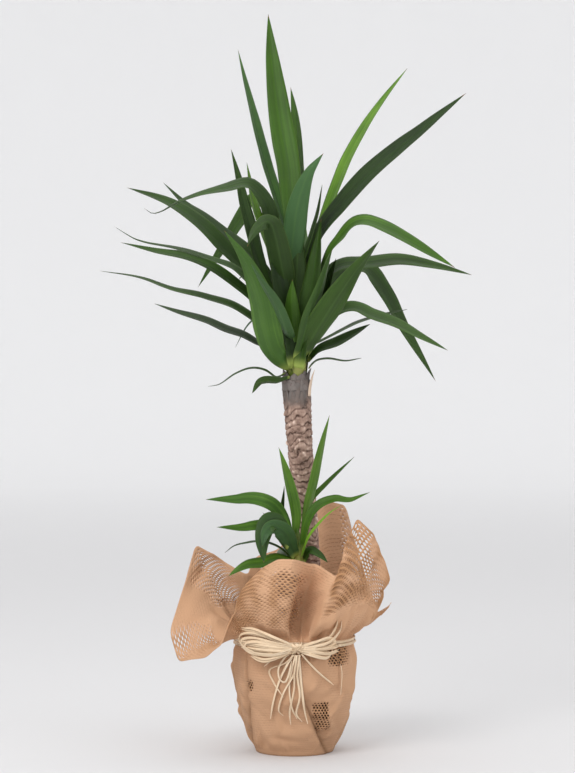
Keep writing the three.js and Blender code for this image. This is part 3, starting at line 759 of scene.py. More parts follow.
def sheath_material():
    made, tree, shader = new_material("young_sheath", 0.45)
    place = carried(tree, "leaf_place", "Vector")
    fibres = place_group(tree, FIBRES, place, Across=900.0, Along=20.0)
    colour = blend_colour(tree, fibres.outputs["Streaks"], (0.26, 0.30, 0.045),
                          (0.56, 0.54, 0.16))
    colour = blend_colour(tree, carried(tree, "tone"), colour, (0.030, 0.085, 0.010))
    tipped = blend_colour(tree, span(tree, carried(tree, "along"), 0.45, 0.95), colour,
                          (0.06, 0.14, 0.015))
    link(tree, tipped, shader.inputs["Base Color"])
    link(tree, span(tree, fibres.outputs["Fine"], 0.2, 0.8, 0.38, 0.55),
         shader.inputs["Roughness"])
    bump(tree, shader, fibres.outputs["Fine"], 0.0005, 0.6)
    return made


SCALE, SHEATH = scale_material(), sheath_material()
DRY_SCALES, TOP_SCALES, CROWN_SHEATHS, SHOOT_SHEATHS = 15, 6, 30, 16
LEAF_TURN = 2.399963    # a plant's turn from each leaf to the next, in radians
random = np.random.default_rng(4)


def base_scale(name, axis, turn, foot, reach, length, width, flare, tone, seed, thin=0.3,
               pale=0.0, stations=14, columns=7):
    """A short blade that stands on a ring round the axis and leans out by flare at its tip."""
    out = np.array([math.cos(turn), math.sin(turn), 0])
    foot_point = np.array([axis[0], axis[1], foot]) + out * reach
    line = [foot_point + out * flare * t ** 2 + np.array([0, 0, length * t])
            for t in (0, 0.35, 0.7, 1)]
    line = spline(np.array(line), 12)
    onward = unit(np.gradient(line, axis=0))
    upper = unit(np.cross(np.cross(onward, -out), onward))
    side = np.cross(upper, onward)
    t = np.linspace(0, 1, 12)
    half = width / 2 * (1 - t ** 2.4) * (1 - 0.2 * (1 - t))
    return blade(name, (line, side, upper, half), tone, pale, seed, gutter=thin, clasp=0.0,
                 stations=stations, columns=columns)


def joined(name, pieces):
    bpy.ops.object.select_all(action="DESELECT")
    for piece in pieces:
        piece.select_set(True)
    bpy.context.view_layer.objects.active = pieces[0]
    bpy.ops.object.join()
    pieces[0].name = name
    pieces[0].data.name = name
    return pieces[0]


top_x, top_y, top_z, top_r = main_line[-1]
scales = []
for k in range(DRY_SCALES):
    turn = k * LEAF_TURN
    foot = top_z - 0.031 + 0.0016 * k
    scales.append(base_scale(f"scale_{k}", (top_x, top_y), turn, foot,
                             top_r - 0.0030, 0.017 + 0.010 * random.random(),
                             0.024 + 0.006 * random.random(),
                             0.0030 + 0.002 * random.random(), random.random(), k,
                             thin=0.42))
for k in range(TOP_SCALES):
    scales.append(base_scale(f"scale_top_{k}", (top_x, top_y), k * 1.13, top_z - 0.013,
                             top_r - 0.0004, 0.018 + 0.004 * (k % 3), 0.027, -0.0045,
                             0.3 + 0.1 * k, 50 + k, thin=0.42))
scales.append(base_scale("scale_torn", (top_x, top_y), math.radians(-25), top_z - 0.02,
                         top_r + 0.001, 0.034, 0.010, 0.007, 1.0, 77, pale=0.9))
finish_piece(joined("dry_leaf_bases", scales), SCALE, "bark")

crown_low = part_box("crown_stem")[0]
sheaths = []
for k in range(CROWN_SHEATHS):
    share = k / (CROWN_SHEATHS - 1)
    foot = crown_low.z - 0.012 + share * 0.135
    reach = 0.0125 * (1 - 0.55 * share)
    sheaths.append(base_scale(f"sheath_{k}", (top_x, top_y), k * LEAF_TURN + 0.4, foot, reach,
                              0.05 + 0.02 * random.random(), 0.021 - 0.008 * share,
                              0.004 + 0.005 * random.random(), min(0.1 + 1.6 * share, 1),
                              100 + k, thin=0.55, stations=20, columns=9))
finish_piece(joined("crown_sheaths", sheaths), SHEATH, "young_stem")

shoot_low, shoot_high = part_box("shoot_stem")
shoot_axis = ((shoot_low.x + shoot_high.x) / 2 + 0.002, shoot_low.y + 0.006)
sheaths = []
for k in range(SHOOT_SHEATHS):
    share = k / (SHOOT_SHEATHS - 1)
    sheaths.append(base_scale(f"shoot_sheath_{k}", shoot_axis, k * LEAF_TURN,
                              shoot_low.z + 0.004 + share * 0.024, 0.0052 * (1 - 0.4 * share),
                              0.022 + 0.012 * random.random(), 0.0125 - 0.004 * share,
                              0.002 + 0.003 * random.random(), 0.2 + 0.5 * share, 140 + k,
                              thin=0.5, stations=20, columns=9))
finish_piece(joined("shoot_sheaths", sheaths), SHEATH, "young_stem")
print("scales and sheaths:", len(scales), "and", CROWN_SHEATHS + SHOOT_SHEATHS)

# %% [markdown]
# Potting soil shows a little between the canes and the paper. It is a dark crumbly mix: one
# rough surface with loose crumbs and bark bits on it, each a dented twenty-sided lump. The
# nursery pot below it keeps its own solid, in moulded brown plastic with a fine grain.

# %% Soil and pot
def crumb_material(name, dark, light, roughness):
    made, tree, shader = new_material(name, roughness, Specular_IOR_Level=0.2)
    place = node(tree, "ShaderNodeTexCoord").outputs["Object"]
    cloudy = place_group(tree, MOTTLE, place, Blotches=120.0, Specks=1400.0)
    colour = blend_colour(tree, cloudy.outputs["Blotch"], dark, light)
    link(tree, colour, shader.inputs["Base Color"])
    link(tree, span(tree, cloudy.outputs["Speck"], 0.3, 0.7, roughness - 0.12, roughness + 0.05),
         shader.inputs["Roughness"])
    bump(tree, shader, cloudy.outputs["Speck"], 0.0012, 0.8)
    return made


def keep_node(name, material):
    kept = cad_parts[name]
    kept.data.materials.clear()
    kept.data.materials.append(material)


def lump(centre, size, seed):
    g = (1 + 5 ** 0.5) / 2
    corners = np.array([(-1, g, 0), (1, g, 0), (-1, -g, 0), (1, -g, 0), (0, -1, g), (0, 1, g),
                        (0, -1, -g), (0, 1, -g), (g, 0, -1), (g, 0, 1), (-g, 0, -1), (-g, 0, 1)])
    sides = [(0, 11, 5), (0, 5, 1), (0, 1, 7), (0, 7, 10), (0, 10, 11), (1, 5, 9), (5, 11, 4),
             (11, 10, 2), (10, 7, 6), (7, 1, 8), (3, 9, 4), (3, 4, 2), (3, 2, 6), (3, 6, 8),
             (3, 8, 9), (4, 9, 5), (2, 4, 11), (6, 2, 10), (8, 6, 7), (9, 8, 1)]
    own = np.random.default_rng(seed)
    shape = corners / 1.9 * (0.75 + 0.5 * own.random((12, 1))) * np.asarray(size)
    turn = own.random() * 2 * math.pi
    c, s = math.cos(turn), math.sin(turn)
    shape = np.stack([shape[:, 0] * c - shape[:, 1] * s, shape[:, 0] * s + shape[:, 1] * c,
                      shape[:, 2]], axis=1)
    return shape + centre, sides


SOIL = crumb_material("potting_mix", (0.010, 0.006, 0.004), (0.070, 0.042, 0.026), 0.93)
PLASTIC = crumb_material("moulded_plastic", (0.085, 0.036, 0.020), (0.115, 0.050, 0.028), 0.5)
STEM = crumb_material("green_stem", (0.045, 0.085, 0.010), (0.20, 0.24, 0.035), 0.6)
keep_node("potting_soil", SOIL)
keep_node("crown_stem", STEM)
keep_node("shoot_stem", STEM)
keep_node("nursery_pot", PLASTIC)
soil_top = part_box("potting_soil")[1].z
random = np.random.default_rng(12)
points, faces = [], []
for k in range(420):
    turn, reach = random.random() * 2 * math.pi, 0.061 * math.sqrt(random.random())
    x, y = reach * math.cos(turn), reach * math.sin(turn)
    if min(math.hypot(x - 0.025, y - 0.016), math.hypot(x + 0.009, y + 0.018)) < 0.018:
        continue
    big = 0.0012 + 0.003 * random.random() ** 2
    some, sides = lump(np.array([x, y, soil_top]), (big, big * 1.3, big * 0.7), k)
    faces += [tuple(v + len(points) for v in side) for side in sides]
    points += list(some)
finish_piece(new_object("soil_crumbs", points, faces, smooth=False), SOIL, "soil")
print("soil: top at", round(soil_top, 3), "m,", len(faces) // 20, "crumbs")

# %% [markdown]
# The wrap is one square of kraft paper cut all over with short staggered slits, so that it can
# be pulled open into a honeycomb. It is folded up round the pot, gathered by the tie, and its
# corners stand out above as a collar. Here it is a grid that runs round the pot and from under
# its foot out to the free edge. A slit parts two points of the grid, and stretching opens it.

# %% Lines of the wrap
AROUND, FLOOR_ROWS, WALL_ROWS, COLLAR_ROWS = 420, 4, 50, 38
WALL = np.array([(49, 0), (51.5, 6), (57, 14), (62, 25), (69.5, 50), (75, 75), (77, 96),
                 (75.8, 120), (72.5, 133), (71, 141), (71.5, 148)]) * MM
COLLAR = {
    138: ((-58, 48, 190), (-62, 52, 215)), 152: ((-84, 44, 200), (-100, 50, 242)),
    165: ((-100, 32, 205), (-126, 40, 257)), 178: ((-108, 12, 190), (-138, 12, 214)),
    192: ((-112, -12, 165), (-157, -20, 152)), 205: ((-104, -34, 142), (-144, -50, 117)),
    215: ((-92, -48, 138), (-112, -62, 126)), 222: ((-80, -56, 150), (-86, -66, 146)),
    230: ((-68, -72, 178), (-66, -82, 212)), 240: ((-50, -88, 190), (-42, -92, 240)),
    252: ((-26, -98, 195), (-20, -98, 250)), 263: ((-7, -97, 193), (2, -97, 249)),
    269: ((1, -54, 182), (12, -72, 244)), 277: ((12, -46, 182), (27, -62, 240)),
    284: ((24, -66, 178), (42, -78, 232)), 290: ((32, -84, 180), (52, -80, 226)),
    300: ((52, -82, 195), (60, -72, 262)),
    315: ((74, -66, 205), (78, -62, 298)), 330: ((92, -52, 205), (100, -48, 275)),
    345: ((104, -36, 190), (122, -32, 219)), 356: ((98, -24, 168), (112, -24, 196)),
    365: ((92, -8, 160), (96, -6, 170)), 375: ((100, 6, 165), (127, 4, 186)),
    390: ((94, 24, 165), (108, 26, 165)), 405: ((80, 40, 190), (86, 44, 225)),
    420: ((62, 48, 220), (66, 50, 306)), 435: ((42, 62, 215), (42, 64, 311)),
    452: ((10, 76, 205), (14, 82, 280)), 470: ((-20, 80, 195), (-22, 88, 246)),
    485: ((-42, 68, 190), (-50, 76, 238)),
}


def round_table(turns, column):
    """Values of the collar table at each turn, with its corners eased like bent paper."""
    keys = np.array(sorted(COLLAR), float)
    rows = np.array([COLLAR[int(k)][column] for k in keys], float) * MM
    keys = np.concatenate([keys - 360, keys, keys + 360])
    rows = np.vstack([rows, rows, rows])
    total = 0
    for shift, share in ((-2.2, 0.2), (-1, 0.2), (0, 0.2), (1, 0.2), (2.2, 0.2)):
        at = np.degrees(turns) + shift
        total = total + share * np.stack([np.interp(at, keys, rows[:, k]) for k in range(3)], -1)
    return total


turns = np.linspace(0, 2 * np.pi, AROUND, endpoint=False)
ring = np.stack([np.cos(turns), np.sin(turns), 0 * turns], -1)
lines = []
for reach in np.linspace(0.012, 0.044, FLOOR_ROWS):
    lines.append(ring * reach + np.array([0, 0, 0.0001]))
wall = spline(WALL, WALL_ROWS)
for radius, height in wall:
    lines.append(ring * radius + np.array([0, 0, max(height, 0.0001)]))
neck = ring * WALL[-1][0] + np.array([0, 0, WALL[-1][1]])
middle, rim = round_table(turns, 0), round_table(turns, 1)
for t in np.linspace(0, 1, COLLAR_ROWS + 1)[1:]:
    lines.append(neck * ((1 - t) * (1 - 2 * t)) + middle * (4 * t * (1 - t))
                 + rim * (t * (2 * t - 1)))
paper = np.array(lines)
ROWS = len(paper)
print("paper grid:", ROWS, "rows by", AROUND)

# %% [markdown]
# Paper that has been handled is full of sharp creases. Each is a low ridge or valley with a
# straight crest and a limited length, at a random place and angle. Gathers run up through the tie
# and fade on both sides of it, and two long folds cross the front where the corners were folded in.
# Painted shade darkens the paper along both folds, on their recessed side low down, in the hollow
# at the front of the collar and wherever a crease pushes deep in.

# %% Creases and gathers
random = np.random.default_rng(21)
rows_at = np.arange(ROWS)[:, None] * np.ones(AROUND)
flat_u = np.ones(ROWS)[:, None] * turns * 0.075
steps = np.linalg.norm(np.diff(paper, axis=0), axis=2)
flat_v = np.vstack([np.zeros(AROUND), np.cumsum(steps, axis=0)])
girth = 2 * np.pi * 0.075
push = np.zeros((ROWS, AROUND))
for k in range(330):
    u0, v0 = random.random() * girth, random.random() * 0.33
    angle = random.random() * np.pi
    reach, width = 0.012 + 0.035 * random.random(), 0.004 + 0.010 * random.random()
    du = (flat_u - u0 + girth / 2) % girth - girth / 2
    dv = flat_v - v0
    along = du * math.cos(angle) + dv * math.sin(angle)
    off = np.abs(dv * math.cos(angle) - du * math.sin(angle))
    size = (0.0010 + 0.0022 * random.random()) * random.choice((-1, 1))
    push += size * np.clip(1 - off / width, 0, 1) * smooth_step(reach, 0, np.abs(along))

surface = np.stack([flat_u * 0 + paper[..., 0], paper[..., 1], paper[..., 2]], -1)
push += 0.0026 * noise(surface, 0.042, 3) + 0.0011 * noise(surface, 0.016, 4)
neck_row = FLOOR_ROWS + WALL_ROWS - 3
gather = np.zeros(AROUND)
for k in range(46):
    centre, width = random.random() * 2 * np.pi, 0.03 + 0.06 * random.random()
    gap = np.abs((turns - centre + np.pi) % (2 * np.pi) - np.pi)
    gather += (0.4 + random.random()) * np.clip(1 - gap / width, 0, 1)
gather = gather - gather.mean()
below = np.exp(-((rows_at - neck_row) / 9.0) ** 2)
above = np.exp(-((rows_at - neck_row) / 17.0) ** 2)
push += np.where(rows_at < neck_row, below, above) * np.clip(gather, -1.1, 1.1) * 0.0034
push -= 0.0012 * below

x, z = paper[..., 0], paper[..., 2]
front = (paper[..., 1] < 0) & (rows_at >= FLOOR_ROWS) & (rows_at < FLOOR_ROWS + WALL_ROWS - 4)
fold = (x - 0.007) * 0.933 + (z - 0.082) * 0.359
push -= np.where(front & (z < 0.095), 0.0085 * smooth_step(0, 0.0014, fold)
                 * np.exp(-np.maximum(fold, 0) / 0.03) * smooth_step(0.095, 0.06, z), 0)
fold = -(x + 0.061 - (0.118 - z) * 0.10)
push -= np.where(front, 0.0080 * smooth_step(0, 0.0014, fold)
                 * np.exp(-np.maximum(fold, 0) / 0.016) * smooth_step(0.128, 0.10, z), 0)
# Painted shade: this mask darkens the paper colour along the two long folds, on their recessed side
# low down, in the hollow at the front of the collar and where creases push deepest.
diagonal = (x - 0.007) * 0.933 + (z - 0.082) * 0.359
upright = -(x + 0.061 - (0.118 - z) * 0.10)
painted_fold_shade = np.where(front, np.exp(-np.abs(diagonal - 0.0012) / 0.0020)
                  * smooth_step(0.088, 0.07, z) * 0.9, 0)
painted_fold_shade += np.where(front, np.exp(-np.abs(upright - 0.0012) / 0.0022)
                   * smooth_step(0.132, 0.115, z) * 0.75, 0)
painted_fold_shade += np.where(front & (upright > 0), np.exp(-upright / 0.010)
                   * smooth_step(0.075, 0.055, z) * 0.7, 0)
painted_fold_shade += np.where(front & (diagonal > 0), np.exp(-diagonal / 0.012)
                   * smooth_step(0.06, 0.03, z) * 0.35, 0)
valley = smooth_step(262, 268, np.degrees(turns)) * smooth_step(284, 272, np.degrees(turns))
painted_fold_shade += 0.5 * valley * smooth_step(FLOOR_ROWS + WALL_ROWS - 1, FLOOR_ROWS + WALL_ROWS + 6,
                                     rows_at) * smooth_step(ROWS - 4, ROWS - 22, rows_at)
painted_fold_shade = np.clip(painted_fold_shade + np.clip(-push - 0.0035, 0, 0.003) * 60, 0, 1)
push *= smooth_step(FLOOR_ROWS - 1, FLOOR_ROWS + 7, rows_at)

along_u = unit(np.roll(paper, -1, axis=1) - np.roll(paper, 1, axis=1))
along_v = unit(np.gradient(paper, axis=0))
outward = unit(np.cross(along_u, along_v))
folded = paper + outward * push[..., None]
folded[..., 2] = np.maximum(folded[..., 2], 0.0001)
print("creases:", 330, "deepest", round(float(np.abs(push).max()) * 1000, 1), "mm")

# %% [markdown]
# Where the paper was pulled, on the tips of the collar and over the shoulders of the pot, the
# slits gape and the strips between them twist out of the surface. Elsewhere they stay shut and
# show only as faint dashes, which the material draws from the same grid.

# %% Slits
out_share = np.clip((rows_at - FLOOR_ROWS - WALL_ROWS) / COLLAR_ROWS, 0, 1)
angle = np.degrees(turns)[None, :] * np.ones((ROWS, 1))


def patch(low, high, from_share, to_share, ease=8):
    inside = smooth_step(low - ease, low, angle) * smooth_step(high + ease, high, angle)
    return inside * smooth_step(from_share - 0.12, from_share, out_share) * smooth_step(
        to_share + 0.1, to_share, out_share)


def spot(x0, x1, z0, z1):
    near = smooth_step(x0 - 0.004, x0, x) * smooth_step(x1 + 0.004, x1, x)
    return np.where(front, near * smooth_step(z0 - 0.004, z0, z) * smooth_step(
        z1 + 0.004, z1, z), 0)


gape = patch(296, 352, 0.45, 1.0) * 0.95 + patch(226, 240, 0.3, 1.0) * 0.75
gape += patch(252, 268, 0.2, 0.8) * 0.6 + patch(150, 172, 0.35, 0.85) * 0.5
gape += patch(198, 214, 0.5, 1.0) * 0.8 + patch(10, 30, 0.4, 1.0) * 0.8
gape += patch(46, 60, 0.7, 1.0) * 0.4 + patch(88, 120, 0.6, 1.0) * 0.35
gape += spot(0.026, 0.040, 0.048, 0.066) + spot(0.030, 0.042, 0.032, 0.042) * 0.8
gape += spot(-0.060, -0.055, 0.084, 0.093) * 0.8 + spot(0.045, 0.066, 0.116, 0.140)
gape *= 0.62 + 0.75 * noise(paper, 0.014, 17)
gape = np.clip(gape, 0, 1)

columns = np.arange(AROUND)
points, place, low_id, high_id = [], [], [], []
for i in range(ROWS):
    phase = (columns + 2 * (i % 2)) % 4
    low_row, high_row = [], []
    for j in range(AROUND):
        here = folded[i, j]
        open_by = gape[i, j] if phase[j] in (1, 2) and 0 < i < ROWS - 1 else 0
        if open_by > 0.06:
            step = np.linalg.norm(folded[i + 1, j] - folded[i - 1, j]) / 2
            part = along_v[i, j] * (0.42 * open_by * step)
            twist = outward[i, j] * (0.0007 * open_by)
            low_row.append(len(points))
            high_row.append(len(points) + 1)
            points += [here - part + twist, here + part - twist]
            place += [(j, i - 0.3, 0), (j, i + 0.3, 0)]
        else:
            low_row.append(len(points))
            high_row.append(len(points))
            points.append(here)
            place.append((j, i, 0))
    low_id.append(low_row)
    high_id.append(high_row)
faces = []
for i in range(ROWS - 1):
    for j in range(AROUND):
        k = (j + 1) % AROUND
        faces.append((high_id[i][j], high_id[i][k], low_id[i + 1][k], low_id[i + 1][j]))
centre = len(points)
points.append(np.array([0, 0, 0.0001]))
place.append((0, 0, 0))
faces += [(centre, low_id[0][(j + 1) % AROUND], low_id[0][j]) for j in range(AROUND)]
copies = 1 + (np.array(high_id) != np.array(low_id)).ravel()
spread, fold_shade = (np.append(np.repeat(v.ravel(), copies), 0) for v in (gape, painted_fold_shade))
wrap = new_object("kraft_wrap", points, faces, {"slit_place": np.array(place, float),
                                                "gape": spread, "fold_shade": fold_shade,
                                                "height": [p[2] for p in points]})
wrap_tree = BVHTree.FromPolygons([tuple(p) for p in points], faces)
area = sum(p.area for p in wrap.data.polygons)
print("paper area:", round(area, 3), "m2, slits open at", int((gape > 0.06).sum() / 4))

# %% [markdown]
# Kraft paper is unbleached wood pulp: warm brown, matt, with short fibres lying every way and a
# cloudy look. Shut slits are thin dashes with a little relief, painted darker for the shade seen
# through them, more in some patches than others.

# %% Paper material
def paper_material():
    made, tree, shader = new_material("kraft_paper", 0.86, Specular_IOR_Level=0.25)
    grid = node(tree, "ShaderNodeSeparateXYZ")
    link(tree, carried(tree, "slit_place", "Vector"), grid.inputs[0])
    row = calc(tree, "ROUND", grid.outputs[1])
    off_row = calc(tree, "ABSOLUTE", calc(tree, "SUBTRACT", grid.outputs[1], row))
    shift = calc(tree, "MULTIPLY", calc(tree, "MODULO", row, 2.0), 0.5)
    turn = calc(tree, "FRACT", calc(tree, "ADD", calc(tree, "DIVIDE", grid.outputs[0], 4.0),
                                    shift))
    dash = calc(tree, "MULTIPLY", span(tree, off_row, 0.13, 0.03), span(tree, turn, 0.78, 0.72))
    place = node(tree, "ShaderNodeTexCoord").outputs["Object"]
    cloudy = place_group(tree, MOTTLE, place, Blotches=28.0, Specks=260.0)
    pulp = place_group(tree, MOTTLE, place, Blotches=90.0, Specks=1600.0)
    # Painted shade: the shut slits show as dark dashes for the shade seen through them, darker in
    # some patches. The same dashes also sink in as a little relief.
    shaded_slit_dashes = calc(tree, "MULTIPLY", dash, span(tree, cloudy.outputs["Blotch"], 0.42, 0.6, 0.1, 1.0))
    colour = blend_colour(tree, cloudy.outputs["Blotch"], (0.60, 0.335, 0.185),
                          (0.74, 0.455, 0.285))
    flecks = calc(tree, "MULTIPLY", span(tree, pulp.outputs["Speck"], 0.56, 0.7), 0.35)
    colour = blend_colour(tree, flecks, colour, (0.40, 0.205, 0.095))
    colour = blend_colour(tree, calc(tree, "MULTIPLY", shaded_slit_dashes, 0.45), colour,
                          (0.30, 0.145, 0.060))
    # Painted shade: where the slits gape, the paper is darkened to a deeper brown for the shade
    # inside the open cells.
    gape_shade = calc(tree, "MULTIPLY", span(tree, carried(tree, "gape"), 0.1, 0.9), 0.85)
    colour = blend_colour(tree, gape_shade, colour, (0.47, 0.235, 0.100))
    # The paper is darker towards the bottom and less so above the tie.
    low_darkening = span(tree, carried(tree, "height"), 0.10, 0.17, 0.55, 0.15)
    colour = blend_colour(tree, low_darkening, colour, (0.47, 0.275, 0.160))
    # Painted shade along the folds, in the collar's hollow and in deep creases: a dark brown laid
    # over the colour.
    fold_shade_amount = calc(tree, "MULTIPLY", carried(tree, "fold_shade"), 0.8)
    colour = blend_colour(tree, fold_shade_amount, colour, (0.17, 0.080, 0.032))
    link(tree, colour, shader.inputs["Base Color"])
    link(tree, span(tree, pulp.outputs["Speck"], 0.3, 0.7, 0.78, 0.93),
         shader.inputs["Roughness"])
    height = calc(tree, "SUBTRACT", calc(tree, "MULTIPLY", pulp.outputs["Speck"], 0.35), shaded_slit_dashes)
    bump(tree, shader, height, 0.0005, 0.7)
    return made


PAPER = paper_material()
thickness = wrap.modifiers.new("paper_thickness", "SOLIDIFY")
thickness.thickness = 0.0004
thickness.offset = -1
finish_piece(wrap, PAPER, "kraft_paper", "wrap_body", "wrap_flap_left", "wrap_flap_front",
             "wrap_flap_right", "wrap_flap_back")
print("wrap:", len(wrap.data.polygons), "faces in one sheet")

# %% [markdown]
# Raffia is torn palm leaf: flat, fibrous straps that curl, with a dry shine. Each strap here is a
# thin closed strip that turns about its own line. The band, knot and bow are bundles of the same
# straps.

# %% Raffia straps
def raffia_material():
    made, tree, shader = new_material("dry_raffia", 0.6, Specular_IOR_Level=0.35)
    place = carried(tree, "strap_place", "Vector")
    fibres = place_group(tree, FIBRES, place, Across=2600.0, Along=30.0)
    cloudy = place_group(tree, MOTTLE, place, Blotches=35.0, Specks=900.0)
    colour = blend_colour(tree, span(tree, fibres.outputs["Streaks"], 0.3, 0.7),
                          (0.76, 0.55, 0.35), (0.95, 0.80, 0.60))
    colour = blend_colour(tree, calc(tree, "MULTIPLY", cloudy.outputs["Blotch"], 0.4), colour,
                          (0.84, 0.65, 0.44))
    link(tree, colour, shader.inputs["Base Color"])
    link(tree, span(tree, fibres.outputs["Fine"], 0.2, 0.8, 0.48, 0.72),
         shader.inputs["Roughness"])
    bump(tree, shader, fibres.outputs["Fine"], 0.0005, 0.8)
    return made


RAFFIA = raffia_material()


def strap(name, path, width, seed, roll=(0, 40), stations=48, closed=False, taper=True):
    """A flat strip along path, in metres. Roll, in degrees, turns its face from the front."""
    line = spline(path, stations, closed)
    if closed:
        line = line[:-1]
        onward = unit(np.roll(line, -1, axis=0) - np.roll(line, 1, axis=0))
    else:
        onward = unit(np.gradient(line, axis=0))
    count = len(line)
    t = np.linspace(0, 1, count, endpoint=not closed)
    out = unit(line * np.array([1, 1, 0]) + np.array([0, -1e-6, 0]))
    first = unit(out - onward * np.sum(out * onward, axis=1, keepdims=True))
    second = np.cross(onward, first)
    swing = np.sin(2 * np.pi * t) if closed else t
    turn = np.radians(roll[0] + (roll[1] - roll[0]) * swing)
    turn = (turn + 0.3 * noise(np.stack([t * 5, 0 * t, 0 * t + seed], 1), 1, seed)
            * (np.sin(np.pi * t) if closed else 1))[:, None]
    face = first * np.cos(turn) + second * np.sin(turn)
    side = np.cross(face, onward)
    half = np.full(count, width / 2)
    if taper:
        half = half * (1 - 0.65 * smooth_step(0.85, 1, t))
    skin = 0.00028
    corners = [(-1, -0.4), (-0.5, 1), (0, 0.6), (0.5, 1), (1, -0.4), (0, -1)]
    points = np.stack([line + side * (half * a)[:, None] + face * (skin * b)
                       for a, b in corners], axis=1).reshape(-1, 3)
    run = run_along(line)
    place = np.stack([np.stack([half * a, run, 0 * run + seed * 0.1], 1)
                      for a, b in corners], axis=1).reshape(-1, 3)
    ring = len(corners)
    faces = []
    for i in range(count if closed else count - 1):
        for k in range(ring):
            a, b = i * ring + k, i * ring + (k + 1) % ring
            c, d = (b + ring) % (count * ring), (a + ring) % (count * ring)
            faces.append((a, b, c, d))
    if not closed:
        faces += [tuple(range(ring))[::-1], tuple((count - 1) * ring + k for k in range(ring))]
    return new_object(name, points, faces, {"strap_place": place}), line


def front_of_paper(x, z, near=0.003):
    """How far forward the paper comes around x and z. It looks beside the point as well, so a
    strand passes over an open slit instead of dropping through it."""
    found = []
    for across, up in ((0, 0), (-near, 0), (near, 0), (0, -near), (0, near)):
        hit = wrap_tree.ray_cast(Vector((x + across, -0.4, z + up)), Vector((0, 1, 0)))[0]
        found.append(hit.y if hit else 0)
    return min(found)


def laid(route):
    """Points in front of the paper along a route of (x, z, lift) in millimetres."""
    fine = spline([tuple(a) for a in route], 26)
    front = np.array([front_of_paper(x * MM, z * MM) for x, z, lift in fine])
    front = np.convolve(np.pad(front, 2, "edge"), np.ones(5) / 5, "valid")
    return [(x * MM, y - lift * MM, z * MM) for (x, z, lift), y in zip(fine, front)]


band = []
random = np.random.default_rng(8)
for k in range(9):
    level, reach = 0.1375 + 0.0009 * k + 0.0004 * random.random(), 0.0742 + 0.0026 * random.random()
    at = np.linspace(0, 2 * np.pi, 26, endpoint=False)
    sway = noise(np.stack([np.cos(at), np.sin(at), 0 * at + k], 1), 0.5, k)
    path = np.stack([(reach + 0.0005 * sway) * np.cos(at), (reach + 0.0005 * sway) * np.sin(at),
                     level + 0.0016 * sway], 1)
    band.append(strap(f"band_{k}", path, 0.0030 + 0.001 * random.random(), k, (-25, 35), 150,
                      closed=True)[0])
finish_piece(joined("raffia_band_straps", band), RAFFIA, "raffia", "raffia_band")

knot_low, knot_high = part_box("raffia_knot")
knot = (np.array(knot_low) + np.array(knot_high)) / 2
wraps = []
for k in range(11):
    tilt, lean = math.radians(-60 + 12 * k), math.radians(18 * math.sin(k * 1.7))
    at = np.linspace(0, 2 * np.pi, 14, endpoint=False)
    size = 0.82 + 0.16 * random.random()
    loop = np.stack([0.0105 * size * np.cos(at) * math.cos(tilt),
                     0.0058 * size * np.sin(at),
                     0.0078 * size * np.cos(at) * math.sin(tilt) + 0.001 * math.sin(lean)], 1)
    loop += np.array([(k % 4 - 1.5) * 0.0012, 0.0004 * (k % 3), (k % 3 - 1) * 0.0012])
    wraps.append(strap(f"wrap_{k}", loop + knot, 0.0036, 20 + k, (-20, 20), 40, closed=True)[0])
core, sides = lump(knot + np.array([0, 0.001, 0]), (0.0105, 0.0052, 0.0075), 3)
wraps.append(new_object("knot_core", core, sides, {"strap_place": core}))
finish_piece(joined("raffia_knot_straps", wraps), RAFFIA, "raffia", "raffia_knot")
print("band and knot:", len(band), "and", len(wraps), "straps")

# %% [markdown]
# Both ends of the bow fan out beside the knot. Some of its straps turn back as loops and some
# are cut ends. Each is drawn through a few points, in millimetres, in front of the gathered neck.

# %% Bow
BOW_LEFT = [
    [(0, -84, 141), (-24, -88, 149), (-50, -78, 156), (-65, -66, 154), (-69, -62, 146),
     (-60, -72, 137), (-36, -86, 133), (-10, -88, 137)],
    [(0, -85, 140), (-24, -91, 146), (-50, -81, 151), (-64, -70, 149), (-66, -67, 141),
     (-54, -78, 133), (-32, -89, 131), (-8, -90, 136)],
    [(0, -86, 139), (-22, -92, 143), (-46, -85, 147), (-60, -75, 144), (-60, -75, 137),
     (-44, -85, 131), (-24, -92, 131), (-6, -92, 136)],
    [(0, -84, 141), (-26, -89, 152), (-50, -78, 160), (-66, -64, 160)],
    [(0, -86, 138), (-22, -92, 140), (-46, -85, 142), (-67, -66, 144)],
    [(0, -86, 138), (-20, -93, 136), (-44, -85, 137), (-66, -66, 138)],
    [(0, -84, 136), (-20, -90, 129), (-38, -86, 124), (-54, -74, 128)],
]
BOW_RIGHT = [
    [(5, -84, 139), (24, -86, 143), (42, -76, 150), (52, -68, 166), (52, -68, 184),
     (48, -72, 194)],
    [(5, -85, 138), (26, -88, 141), (44, -78, 146), (56, -66, 158), (58, -64, 168)],
    [(5, -86, 138), (26, -88, 138), (46, -76, 138), (58, -62, 140)],
    [(5, -86, 137), (24, -88, 134), (40, -80, 131), (54, -66, 133)],
    [(5, -84, 140), (24, -87, 146), (42, -78, 150), (50, -70, 143), (36, -80, 137),
     (14, -87, 137)],
    [(5, -84, 136), (22, -88, 130), (38, -80, 126), (45, -72, 130), (47, -72, 140)],
]
